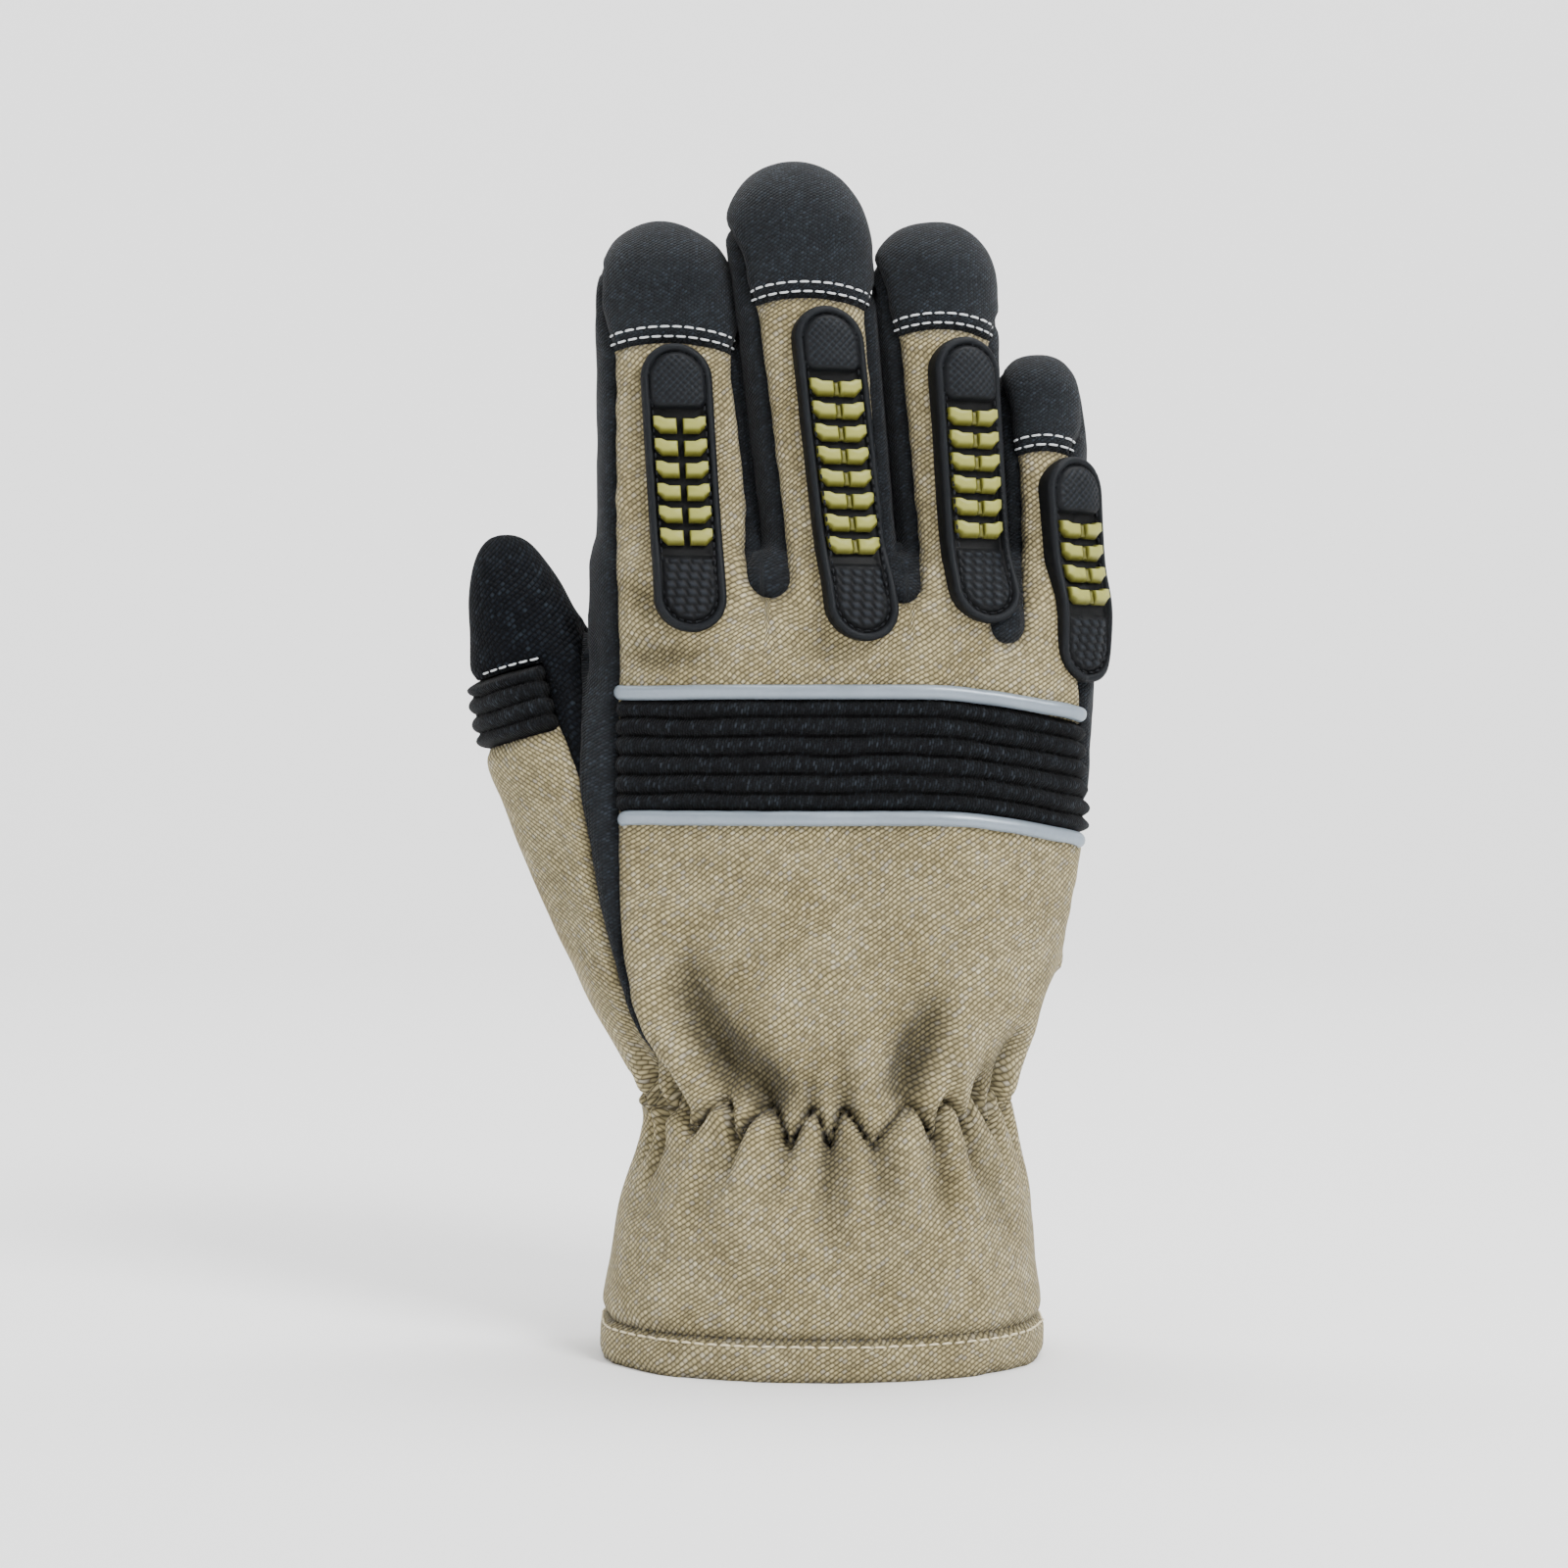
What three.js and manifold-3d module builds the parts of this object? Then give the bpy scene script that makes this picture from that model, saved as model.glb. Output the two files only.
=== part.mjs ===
// Firefighter glove for the right hand, standing on its open cuff.
// +Z runs from the cuff to the fingertips, -Y is the back of the hand and the thumb points to -X.
// Every cloth piece is cut out of one hollow hand shape, so that neighbours meet at narrow seams.
import * as THREE from 'three';
import { mergeVertices } from 'three/addons/utils/BufferGeometryUtils.js';
import Module from 'manifold-3d';

const wasm = await Module();
wasm.setup();

// Driving dimensions, in millimetres
const cuffHeight = 59; // floor to the wrist elastic
const palmHeight = 125; // wrist elastic to the finger crotches
const fingerLength = 96; // crotch to the middle fingertip
const thumbHeight = 135.5; // wrist elastic to the thumb tip
const handWidth = 117.5; // across the knuckles
const handDepth = 42;
const wristWidth = 82;
const wristDepth = 52;
const cuffWidth = 103;
const cuffDepth = 74;
const fingerDepth = 27;
const fingerGap = 0.9; // air between neighbouring fingers
const wall = 2.6; // cloth, padding and lining together
const seamGap = 0.3; // between neighbouring sewn pieces
const hemHeight = 9.5;
const hemRaise = 0.9; // how far the folded hem stands out from the cuff
const bandHeight = 26; // ribbed knuckle band, without its pipings
const bandRibs = 6;
const bandRibRaise = 1.1;
const pipingWidth = 3.6;
const pipingRaise = 1;
const thumbRibs = 4;
const thumbBandHeight = 18;
const thumbRibRaise = 1.3;
const patchThickness = 1.1; // palm reinforcement
const guardWidth = 16.4; // moulded guard on the back of each finger
const guardRim = 1.8; // width of its raised edge
const guardFloor = 1.4; // from the cloth to the guard's floor between its raised parts
const guardRaise = 3.2; // from the cloth to the top of its edge and pads
const guardChannel = 0.8; // sewing channel between edge and pads
const topPad = 13.6; // length of the upper pad
const bottomPad = 16;
const blockRaise = 4;
const blockPitch = 5.2;
const blockHeight = 3.4;
const blockGroove = 1.4; // between the two blocks of a row
const blockTip = 0.7; // how far a block's outer end rises above its inner end
const insertPlate = 0.7;
const gatherCount = 22; // puckers round the wrist elastic
const gatherDepth = 1.5;
const gatherReach = 15; // how far a pucker runs up and down from the elastic
const deepestPucker = 2.4;
const gatheredWall = 1.6; // how much thicker the cloth bunches at the elastic

// Levels that follow from them
const crotchLevel = cuffHeight + palmHeight;
const fingerLine = crotchLevel + 0.73 * fingerLength; // where the upper crease positions are given
const bandTop = cuffHeight + 0.757 * palmHeight;
const bandBottom = bandTop - bandHeight;
const farAway = 400; // beyond the glove on every side

// Colours of the finishes
const tanCloth = { color: 0xb9a57c, roughness: 0.95, metalness: 0 };
const blackKnit = { color: 0x23262b, roughness: 0.92, metalness: 0 };
const blackRib = { color: 0x15171a, roughness: 0.9, metalness: 0 };
const greyReflective = { color: 0x98a3ab, roughness: 0.45, metalness: 0 };
const blackRubber = { color: 0x1b1e23, roughness: 0.6, metalness: 0 };
const yellowRubber = { color: 0xaba358, roughness: 0.55, metalness: 0 };

// Sections from the floor to the elastic. flare 1 is the cuff's own width and depth, 0 the wrist's.
const cuffSections = [
  { height: 0, flare: 1 },
  { height: 0.17, flare: 0.99 },
  { height: 0.36, flare: 0.9 },
  { height: 0.52, flare: 0.77 },
  { height: 0.68, flare: 0.58 },
  { height: 0.84, flare: 0.3 },
  { height: 1, flare: 0 },
];

// Sections from the elastic to the knuckles. height is a share of palmHeight, width and shift of
// handWidth, back and palm of handDepth: how far the section reaches in front of and behind y = 0.
const palmSections = [
  { height: 0.05, width: 0.735, shift: 0, back: 0.6, palm: 0.62 },
  { height: 0.16, width: 0.835, shift: 0.002, back: 0.575, palm: 0.6 },
  { height: 0.37, width: 0.935, shift: 0.012, back: 0.545, palm: 0.57 },
  { height: 0.58, width: 0.98, shift: 0.029, back: 0.525, palm: 0.54 },
  { height: 0.8, width: 1, shift: 0.044, back: 0.51, palm: 0.52 },
  { height: 0.93, width: 1, shift: 0.047, back: 0.465, palm: 0.465 },
  { height: 1, width: 0.985, shift: 0.047, back: 0.34, palm: 0.34 },
  { height: 1.025, width: 0.95, shift: 0.047, back: 0.18, palm: 0.18 },
];
const crotchSlope = -0.085; // the crotches step down towards the little finger

// Crease lines between the fingers: sideways place at the crotch and at fingerLine, as shares of
// handWidth, and how far the black strip on each side of the crease reaches, as shares of fingerDepth.
const creases = [
  { name: 'index_side', root: -0.45, top: -0.448, strip: 0.13 },
  { name: 'index_middle', root: -0.108, top: -0.184, strip: 0.175 },
  { name: 'middle_ring', root: 0.153, top: 0.095, strip: 0.165 },
  { name: 'ring_little', root: 0.363, top: 0.35, strip: 0.15 },
  { name: 'little_side', root: 0.545, top: 0.51, strip: 0.19 },
];

// Fingers: length as a share of fingerLength, cap as the share of it under the black fingertip, depth
// as a share of fingerDepth, and forward as the share of handDepth that the middle line lies behind
// y = 0
const fingers = [
  { name: 'index', length: 0.862, cap: 0.35, depth: 1, forward: 0 },
  { name: 'middle', length: 1, cap: 0.335, depth: 1.03, forward: -0.05 },
  { name: 'ring', length: 0.862, cap: 0.31, depth: 0.96, forward: -0.01 },
  { name: 'little', length: 0.537, cap: 0.44, depth: 0.84, forward: 0.075 },
];
const rootSwell = 1.2; // a finger's depth at the crotch over its depth at the tip

// Their guards: turn in degrees about the finger, top as the share of fingerLength above the crotch,
// rows of blocks, and pads as the share of the pads' lengths
const guards = [
  { turn: 6, top: 0.561, rows: 6, pads: 1 },
  { turn: 15, top: 0.648, rows: 8, pads: 1 },
  { turn: 21, top: 0.578, rows: 6, pads: 0.98 },
  { turn: 24, top: 0.295, rows: 4, pads: 0.87 },
];

// Thumb sections: height as a share of thumbHeight above the elastic; left, right, near and far as
// shares of handWidth, the last two measured along y.
const thumbSections = [
  { height: 0.02, left: -0.315, right: -0.05, near: -0.09, far: 0.2 },
  { height: 0.15, left: -0.45, right: -0.05, near: -0.1, far: 0.23 },
  { height: 0.3, left: -0.535, right: -0.09, near: -0.1, far: 0.25 },
  { height: 0.46, left: -0.61, right: -0.15, near: -0.085, far: 0.25 },
  { height: 0.6, left: -0.662, right: -0.25, near: -0.06, far: 0.238 },
  { height: 0.72, left: -0.692, right: -0.36, near: -0.035, far: 0.228 },
  { height: 0.81, left: -0.694, right: -0.452, near: -0.018, far: 0.218 },
  { height: 0.87, left: -0.689, right: -0.494, near: -0.008, far: 0.208 },
  { height: 0.93, left: -0.676, right: -0.527, near: 0.012, far: 0.188 },
  { height: 0.97, left: -0.655, right: -0.558, near: 0.038, far: 0.16 },
  { height: 1, left: -0.617, right: -0.597, near: 0.088, far: 0.108 },
];
const thumbLean = 0.22; // the thumb's rings drop towards the palm by this slope

// Long folds that fan out from the elastic over the back: place round the wrist in degrees from the
// middle of the back, reach above and below the elastic and depth as shares of gatherReach and gatherDepth.
const fanFolds = [
  { place: -52, up: 1.6, down: 0.8, depth: 1.1, width: 9 },
  { place: -24, up: 2.9, down: 1, depth: 1.7, width: 10 },
  { place: 4, up: 1.5, down: 1.9, depth: 1.3, width: 8 },
  { place: 24, up: 2.3, down: 1.2, depth: 1.5, width: 9 },
  { place: 48, up: 1.8, down: 1.6, depth: 1.2, width: 9 },
  { place: 150, up: 1.7, down: 1.3, depth: 1, width: 10 },
  { place: 205, up: 1.9, down: 1.5, depth: 1, width: 10 },
];

const radians = THREE.MathUtils.degToRad;

// A closed solid from a geometry, and back again
function solidOf(geometry) {
  geometry.deleteAttribute('normal');
  geometry.deleteAttribute('uv');
  const merged = mergeVertices(geometry, 1e-4);
  return new wasm.Manifold(new wasm.Mesh({
    numProp: 3,
    vertProperties: new Float32Array(merged.attributes.position.array),
    triVerts: new Uint32Array(merged.index.array),
  }));
}

function meshOf(name, solid, finish) {
  const { vertProperties, triVerts } = solid.getMesh();
  const geometry = new THREE.BufferGeometry();
  geometry.setAttribute('position', new THREE.BufferAttribute(vertProperties, 3));
  geometry.setIndex(new THREE.BufferAttribute(triVerts, 1));
  geometry.computeVertexNormals();
  const mesh = new THREE.Mesh(geometry, new THREE.MeshStandardMaterial(finish));
  mesh.name = name;
  return mesh;
}

// A closed loft through rings of points, which may differ in their number of points
function loft(rings) {
  const positions = [];
  const triangles = [];
  const starts = rings.map((ring) => {
    const start = positions.length / 3;
    ring.forEach((p) => positions.push(p.x, p.y, p.z));
    return start;
  });
  for (let i = 0; i + 1 < rings.length; i += 1) {
    const [low, high] = [rings[i].length, rings[i + 1].length];
    let [a, b] = [0, 0];
    while (a < low || b < high) {
      const here = starts[i] + (a % low);
      const there = starts[i + 1] + (b % high);
      if (b === high || (a < low && (a + 0.5) / low <= (b + 0.5) / high)) {
        a += 1;
        triangles.push(here, starts[i] + (a % low), there);
      } else {
        b += 1;
        triangles.push(here, starts[i + 1] + (b % high), there);
      }
    }
  }
  [0, rings.length - 1].forEach((end) => {
    const ring = rings[end];
    const centre = positions.length / 3;
    const sum = ring.reduce((total, p) => total.add(p), new THREE.Vector3()).divideScalar(ring.length);
    positions.push(sum.x, sum.y, sum.z);
    ring.forEach((p, k) => {
      const here = starts[end] + k;
      const next = starts[end] + ((k + 1) % ring.length);
      triangles.push(...(end === 0 ? [centre, next, here] : [centre, here, next]));
    });
  });
  const geometry = new THREE.BufferGeometry();
  geometry.setAttribute('position', new THREE.BufferAttribute(new Float32Array(positions), 3));
  geometry.setIndex(triangles);
  return solidOf(geometry);
}

// A table's column at a height between its rows, on a smooth curve through them
function column(rows, name, height) {
  let i = rows.findIndex((row) => row.height > height) - 1;
  if (i === -2) i = rows.length - 2;
  i = Math.max(0, i);
  const [a, b] = [rows[i], rows[i + 1]];
  const [before, after] = [rows[Math.max(0, i - 1)], rows[Math.min(rows.length - 1, i + 2)]];
  const span = b.height - a.height;
  const t = THREE.MathUtils.clamp((height - a.height) / span, 0, 1);
  const startSlope = ((b[name] - before[name]) / (b.height - before.height)) * span;
  const endSlope = ((after[name] - a[name]) / (after.height - a.height)) * span;
  return (2 * t ** 3 - 3 * t ** 2 + 1) * a[name] + (t ** 3 - 2 * t ** 2 + t) * startSlope
    + (3 * t ** 2 - 2 * t ** 3) * b[name] + (t ** 3 - t ** 2) * endSlope;
}

// One ring of a rounded section, from the middle of the back towards +X; round 2 is an ellipse
function ringPoints(section, sides, grow = 0, round = 2.25) {
  const { x, y, z, wide, back, palm, turn = 0 } = section;
  const shape = (value) => Math.sign(value) * Math.abs(value) ** (2 / round);
  return Array.from({ length: sides }, (_, k) => {
    const angle = (2 * Math.PI * k) / sides;
    const side = (wide + grow) * shape(Math.sin(angle));
    const front = -((Math.cos(angle) > 0 ? back : palm) + grow) * shape(Math.cos(angle));
    return new THREE.Vector3(
      x + side * Math.cos(turn) - front * Math.sin(turn),
      y + side * Math.sin(turn) + front * Math.cos(turn),
      z,
    );
  });
}

// The hand and cuff: section at a height, then the puckers and folds at the elastic
const wristShares = {
  height: 0,
  width: wristWidth / handWidth,
  shift: 0,
  back: wristDepth / 2 / handDepth,
  palm: wristDepth / 2 / handDepth,
};
const handRows = [wristShares, ...palmSections];

function bodySection(z) {
  if (z < cuffHeight) {
    const flare = column(cuffSections, 'flare', Math.max(0, z) / cuffHeight);
    const wide = (wristWidth + flare * (cuffWidth - wristWidth)) / 2;
    const depth = (wristDepth + flare * (cuffDepth - wristDepth)) / 2;
    return { x: 0, y: 0, z, wide, back: depth, palm: depth };
  }
  const share = (name) => column(handRows, name, (z - cuffHeight) / palmHeight);
  return {
    x: share('shift') * handWidth,
    y: 0,
    z,
    wide: (share('width') * handWidth) / 2,
    back: share('back') * handDepth,
    palm: share('palm') * handDepth,
  };
}

const fade = (distance, reach) => Math.max(0, 1 - Math.abs(distance) / reach) ** 1.5;

function puckerDepth(angle, z) {
  const above = z - cuffHeight;
  let depth = gatherDepth * fade(above, gatherReach) * (0.5 - 0.5 * Math.cos(gatherCount * angle));
  fanFolds.forEach((fold) => {
    const reach = gatherReach * (above > 0 ? fold.up : fold.down);
    const away = Math.abs(((angle * 180) / Math.PI - fold.place + 540) % 360 - 180) / fold.width;
    depth += gatherDepth * fold.depth * fade(above, reach) * Math.exp(-away * away);
  });
  return Math.min(depth, deepestPucker);
}

function bodyRing(z, sides, grow, puckered) {
  const section = bodySection(z);
  const ring = ringPoints(section, sides, grow);
  ring.forEach((p, k) => {
    const depth = puckered ? puckerDepth((2 * Math.PI * k) / sides, z) : 0;
    p.x += (-depth * (p.x - section.x)) / section.wide;
    p.y += (-depth * (p.y - section.y)) / section.back;
    const near = THREE.MathUtils.smoothstep(z, crotchLevel - 0.35 * palmHeight, crotchLevel);
    p.z += near * crotchSlope * (p.x - section.x);
  });
  return ring;
}

const fineSides = 2 * gatherCount;
const coarseSides = 28;
const hollowSides = 16;
const gatherSteps = [-1, -0.45, 0, 0.45, 1]; // shares of gatherReach

const cuffLevels = [0, 0.22, 0.47].map((share) => share * cuffHeight);
const palmLevels = [0.37, 0.58, 0.8, 0.93, 1, 1.025].map((share) => cuffHeight + share * palmHeight);

function bodyLoft(grow) {
  const wrist = gatherSteps.map((step) => cuffHeight + step * gatherReach);
  const heights = [...cuffLevels, ...wrist, ...palmLevels];
  return loft(heights.map((z) => {
    const sides = Math.abs(z - cuffHeight) < 0.9 * gatherReach ? fineSides : coarseSides;
    const ring = bodyRing(z, sides, grow, true);
    if (z === heights.at(-1)) ring.forEach((p) => { p.z += grow; });
    return ring;
  }));
}

// The space for the wrist and hand, open below
function bodyHollow(inset) {
  const foot = cuffHeight - cuffHeight * 0.48;
  const wrist = [-1, 0, 1].map((step) => cuffHeight + step * gatherReach);
  const heights = [-hemHeight, foot, ...wrist, ...palmLevels.slice(0, 5)];
  return loft(heights.map((z) => {
    const more = gatheredWall * fade(z - cuffHeight, 1.5 * gatherReach);
    return bodyRing(z, hollowSides, -inset - more, false);
  }));
}

// Fingers
const creaseX = (crease, z) => {
  const climb = (z - crotchLevel) / (fingerLine - crotchLevel);
  return (crease.root + (crease.top - crease.root) * climb) * handWidth;
};

function fingerSection(i, z) {
  const finger = fingers[i];
  const left = creaseX(creases[i], z) + (i > 0 ? fingerGap / 2 : 0);
  const right = creaseX(creases[i + 1], z) - (i < 3 ? fingerGap / 2 : 0);
  const climb = THREE.MathUtils.clamp((z - crotchLevel) / (finger.length * fingerLength), -0.3, 1);
  const swell = rootSwell + (1 - rootSwell) * Math.max(0, climb) ** 0.6;
  const depth = (fingerDepth / 2) * finger.depth * swell;
  return {
    x: (left + right) / 2,
    y: finger.forward * handDepth,
    z,
    wide: (right - left) / 2,
    back: depth,
    palm: depth,
  };
}

const fingerSides = 12;
const hollowFingerSides = 8;
const domeSteps = [35, 65]; // degrees up the rounded tip

function fingerLoft(i, grow) {
  const finger = fingers[i];
  const hollow = grow < 0;
  const sides = hollow ? hollowFingerSides : fingerSides;
  const tip = crotchLevel + finger.length * fingerLength + grow;
  const dome = fingerSection(i, tip).wide * 1.1 + grow;
  const start = tip - dome;
  const straight = [crotchLevel - 0.16 * palmHeight, crotchLevel, start];
  const rings = straight.map((z) => ringPoints(fingerSection(i, z), sides, grow, 2.2));
  domeSteps.slice(hollow ? 1 : 0).forEach((step) => {
    const section = fingerSection(i, start + dome * Math.sin(radians(step)));
    const shrink = Math.cos(radians(step)) ** 0.9;
    const wide = (section.wide + grow) * shrink;
    const depth = (section.back + grow) * shrink;
    rings.push(ringPoints({ ...section, wide, back: depth, palm: depth }, sides, 0, 2.2));
  });
  rings.push(ringPoints({ ...fingerSection(i, tip), wide: 0.4, back: 0.4, palm: 0.4 }, sides));
  return loft(rings);
}

// Thumb
const thumbSides = 12;

function thumbSection(height) {
  const share = (name) => column(thumbSections, name, height) * handWidth;
  const depth = (share('far') - share('near')) / 2;
  return {
    x: (share('left') + share('right')) / 2,
    y: (share('far') + share('near')) / 2,
    z: cuffHeight + height * thumbHeight,
    wide: (share('right') - share('left')) / 2,
    back: depth,
    palm: depth,
  };
}

function thumbRing(height, grow) {
  const section = thumbSection(height);
  const sides = grow < 0 ? hollowFingerSides : thumbSides;
  const ring = ringPoints(section, sides, Math.max(grow, 0.25 - section.wide), 2.1);
  const tip = height > 0.93 ? (grow * (height - 0.93)) / 0.07 : 0;
  ring.forEach((p) => {
    p.z += tip - thumbLean * (p.y - section.y) * THREE.MathUtils.smoothstep(height, 0.3, 0.6)
      * (1 - THREE.MathUtils.smoothstep(height, 0.8, 1));
  });
  return ring;
}

function thumbLoft(grow) {
  const rows = grow < 0 ? thumbSections.filter((_, k) => k % 2 === 0) : thumbSections;
  return loft(rows.map((row) => thumbRing(row.height, grow)));
}

function handSolid(body, grow) {
  let solid = body.add(thumbLoft(grow));
  fingers.forEach((_, i) => { solid = solid.add(fingerLoft(i, grow)); });
  return solid;
}

// Seam lines: height as a share of palmHeight, the others sideways places as shares of handWidth.
// Beyond the silhouette a place is farOut. On the index finger's side of the back the black strip
// lies between left and right, and runs to a point above the wrist.
const farOut = 0.9;
const indexSideSeams = [
  { height: 0.09, left: -0.336, right: -0.328 },
  { height: 0.17, left: -0.385, right: -0.368 },
  { height: 0.28, left: -0.42, right: -0.397 },
  { height: 0.4, left: -0.45, right: -0.403 },
  { height: 0.6, left: -0.485, right: -0.405 },
  { height: 0.9, left: -0.478, right: -0.41 },
  { height: 2, left: -0.478, right: -0.418 },
];
const palmSeams = [
  { height: 0, left: -0.275, right: 0.3 },
  { height: 0.1, left: -0.29, right: 0.34 },
  { height: 0.22, left: -0.345, right: 0.46 },
  { height: 0.27, left: -0.378, right: farOut },
  { height: 0.4, left: -0.47, right: farOut },
  { height: 0.58, left: -0.6, right: farOut },
  { height: 0.6, left: -farOut, right: farOut },
  { height: 2.2, left: -farOut, right: farOut },
];
const thumbSeams = [
  { height: 0.19, left: -farOut, right: -0.3 },
  { height: 0.366, left: -farOut, right: -0.24 },
  { height: 0.472, left: -farOut, right: -0.233 },
  { height: 0.592, left: -farOut, right: -0.265 },
  { height: 0.672, left: -farOut, right: -0.35 },
  { height: 0.725, left: -farOut, right: -0.46 },
  { height: 1.3, left: -farOut, right: -0.46 },
];
const patchSeams = [
  { height: 0.245, left: -0.115, right: 0.405 },
  { height: 0.36, left: -0.19, right: 0.45 },
  { height: 0.58, left: -0.225, right: 0.475 },
  { height: 0.69, left: -0.28, right: 0.475 },
  { height: 0.75, left: -0.4, right: 0.475 },
  { height: 0.95, left: -0.41, right: 0.475 },
];
const patchTop = 0.88; // height of the patch's upper edge at its middle
const patchTopSlope = -0.15;

// Cutting regions. A region takes a growth, so that the rest of the shell is cut back by a seam.
function prismGeometry(outline, near, far, grow) {
  const centre = outline.map(([x, z]) => new THREE.Vector2(x, z));
  const area = THREE.ShapeUtils.area(centre);
  const points = area < 0 ? centre.reverse() : centre;
  const moved = points.map((p, k) => {
    const before = points[(k + points.length - 1) % points.length];
    const after = points[(k + 1) % points.length];
    const inward = p.clone().sub(before).normalize();
    const outward = after.clone().sub(p).normalize();
    const normal = new THREE.Vector2(inward.y + outward.y, -inward.x - outward.x).normalize();
    const lift = grow / Math.max(0.4, normal.dot(new THREE.Vector2(outward.y, -outward.x)));
    return p.clone().addScaledVector(normal, lift);
  });
  const shape = new THREE.Shape(moved);
  const geometry = new THREE.ExtrudeGeometry(shape, { depth: far - near + 2 * grow, bevelEnabled: false });
  geometry.rotateX(Math.PI / 2);
  geometry.translate(0, far + grow, 0);
  return geometry;
}

const prism = (outline, near, far, grow = 0) => solidOf(prismGeometry(outline, near, far, grow));

const handX = (share) => share * handWidth;
const palmZ = (share) => cuffHeight + share * palmHeight;
const toBack = [-farAway, 0];
const toPalm = [-0.001, farAway];

function between(rows, [near, far], grow) {
  const left = rows.map((row) => [handX(row.left), palmZ(row.height)]);
  const right = rows.map((row) => [handX(row.right), palmZ(row.height)]);
  return prism([...right, ...left.reverse()], near, far, grow);
}

// The black palm side of the cuff, narrower at the elastic
const cuffPalmShare = 0.8;
const cuffPalmRegion = (grow) => {
  const foot = (cuffPalmShare * cuffWidth) / 2;
  const head = (cuffPalmShare * wristWidth) / 2;
  return prism([[-foot, -1], [foot, -1], [head, cuffHeight], [-head, cuffHeight]], 0, farAway, grow);
};

// Black strips along the sides of the fingers, with a lower end on the back and on the palm side
const stripEnds = [
  { back: 0.07, palm: 0.9 },
  { back: 0.945, palm: 1.02 },
  { back: 0.935, palm: 1.02 },
  { back: 0.86, palm: 0.96 },
  { back: 0.24, palm: 0.27 },
];

function stripRegion(i, palmSide, grow) {
  const crease = creases[i];
  const half = crease.strip * fingerDepth;
  const bottom = palmZ(stripEnds[i][palmSide ? 'palm' : 'back']);
  const top = crotchLevel + 1.3 * fingerLength;
  const [near, far] = palmSide ? [-0.001, farAway] : [-farAway, 0];
  const inner = (side, z) => creaseX(crease, z) + side * half;
  const outline = [[inner(-1, top), top], [inner(1, top), top]];
  const steps = 5;
  for (let k = 0; k <= steps; k += 1) {
    const angle = (Math.PI * k) / steps;
    const z = bottom + half - half * Math.sin(angle);
    outline.push([creaseX(crease, z) + half * Math.cos(angle), z]);
  }
  return prism(outline, near, far, grow);
}

const sideBandWrap = 0.16 * handDepth; // how far the index finger's strip reaches round to the palm
const indexSideRegion = (grow) => {
  const aboveThumb = indexSideSeams.slice(-2).map((row) => ({ ...row, right: row.right - 0.02 }));
  return between(indexSideSeams, toBack, grow).add(between(aboveThumb, [-0.001, sideBandWrap], grow));
};

// The knuckle band dips on the little finger's side
const dipStart = 0.2;
const dipEnd = 0.53;
const dipDepth = 0.14; // of handDepth
const bandDip = (x) => -dipDepth * handDepth
  * THREE.MathUtils.clamp((x / handWidth - dipStart) / (dipEnd - dipStart), 0, 1.2) ** 1.6;
const bandLeft = -0.407; // sideways place of its left end, as a share of handWidth

function bandRegion(low, high, grow) {
  const places = [bandLeft, 0.15, 0.32, 0.44, 0.535].map(handX);
  const lower = places.map((x) => [x, low + bandDip(x)]);
  const upper = places.map((x) => [x, high + bandDip(x)]).reverse();
  return prism([...lower, ...upper], -farAway, 0, grow);
}

// The body's surface between two levels, raised by a profile of the level
function raisedBody(low, high, steps, raise) {
  const rings = Array.from({ length: steps + 1 }, (_, k) => {
    const share = k / steps;
    const level = low + (high - low) * share;
    const ring = ringPoints(bodySection(level), coarseSides, raise(share));
    const near = THREE.MathUtils.smoothstep(level, crotchLevel - 0.35 * palmHeight, crotchLevel);
    ring.forEach((p) => { p.z += near * crotchSlope * (p.x - bodySection(level).x) + bandDip(p.x); });
    return ring;
  });
  return loft(rings);
}

// The thumb's ribbed band: two side walls of it, on the back and on the palm side, with its own slopes
const thumbBandTop = cuffHeight + 0.745 * thumbHeight;
const thumbBandFoot = thumbBandTop - thumbBandHeight;
const thumbBandEdges = { outer: -0.69, back: -0.545, palm: -0.59 };
const thumbBandRise = 5; // its lower edge climbs by this towards the index finger

function thumbBandRegion(grow) {
  const back = prism([
    [handX(-farOut), thumbBandFoot],
    [handX(thumbBandEdges.outer), thumbBandFoot],
    [handX(thumbBandEdges.back), thumbBandFoot + thumbBandRise],
    [handX(thumbBandEdges.back), thumbBandTop + thumbBandRise / 2],
    [handX(thumbBandEdges.outer), thumbBandTop],
    [handX(-farOut), thumbBandTop],
  ], -farAway, 0.1 * handWidth, grow);
  const palm = prism([
    [handX(-farOut), thumbBandFoot],
    [handX(thumbBandEdges.palm), thumbBandFoot],
    [handX(thumbBandEdges.palm), thumbBandTop - thumbBandRise],
    [handX(-farOut), thumbBandTop],
  ], 0.1 * handWidth - 0.001, farAway, grow);
  return back.add(palm);
}

function thumbRibLoft() {
  const pitch = thumbBandHeight / thumbRibs;
  const steps = 2 * (thumbRibs + 1);
  const rings = Array.from({ length: steps + 1 }, (_, k) => {
    const height = (thumbBandFoot - cuffHeight + (k * pitch) / 2) / thumbHeight;
    return thumbRing(height, k % 2 === 1 ? thumbRibRaise : 0.1);
  });
  return loft(rings);
}

// Whether a point lies inside a finger or the knuckles below it
function insideHand(i, x, y, z) {
  return [bodySection(z), fingerSection(i, z)].some((section, k) => {
    const depth = y < section.y ? section.back : section.palm;
    const across = Math.abs(x - section.x) / section.wide;
    const deep = Math.abs(y - section.y) / depth;
    return (k === 1 || z < crotchLevel + 0.02 * palmHeight) && across ** 2.25 + deep ** 2.25 < 1;
  });
}

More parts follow.
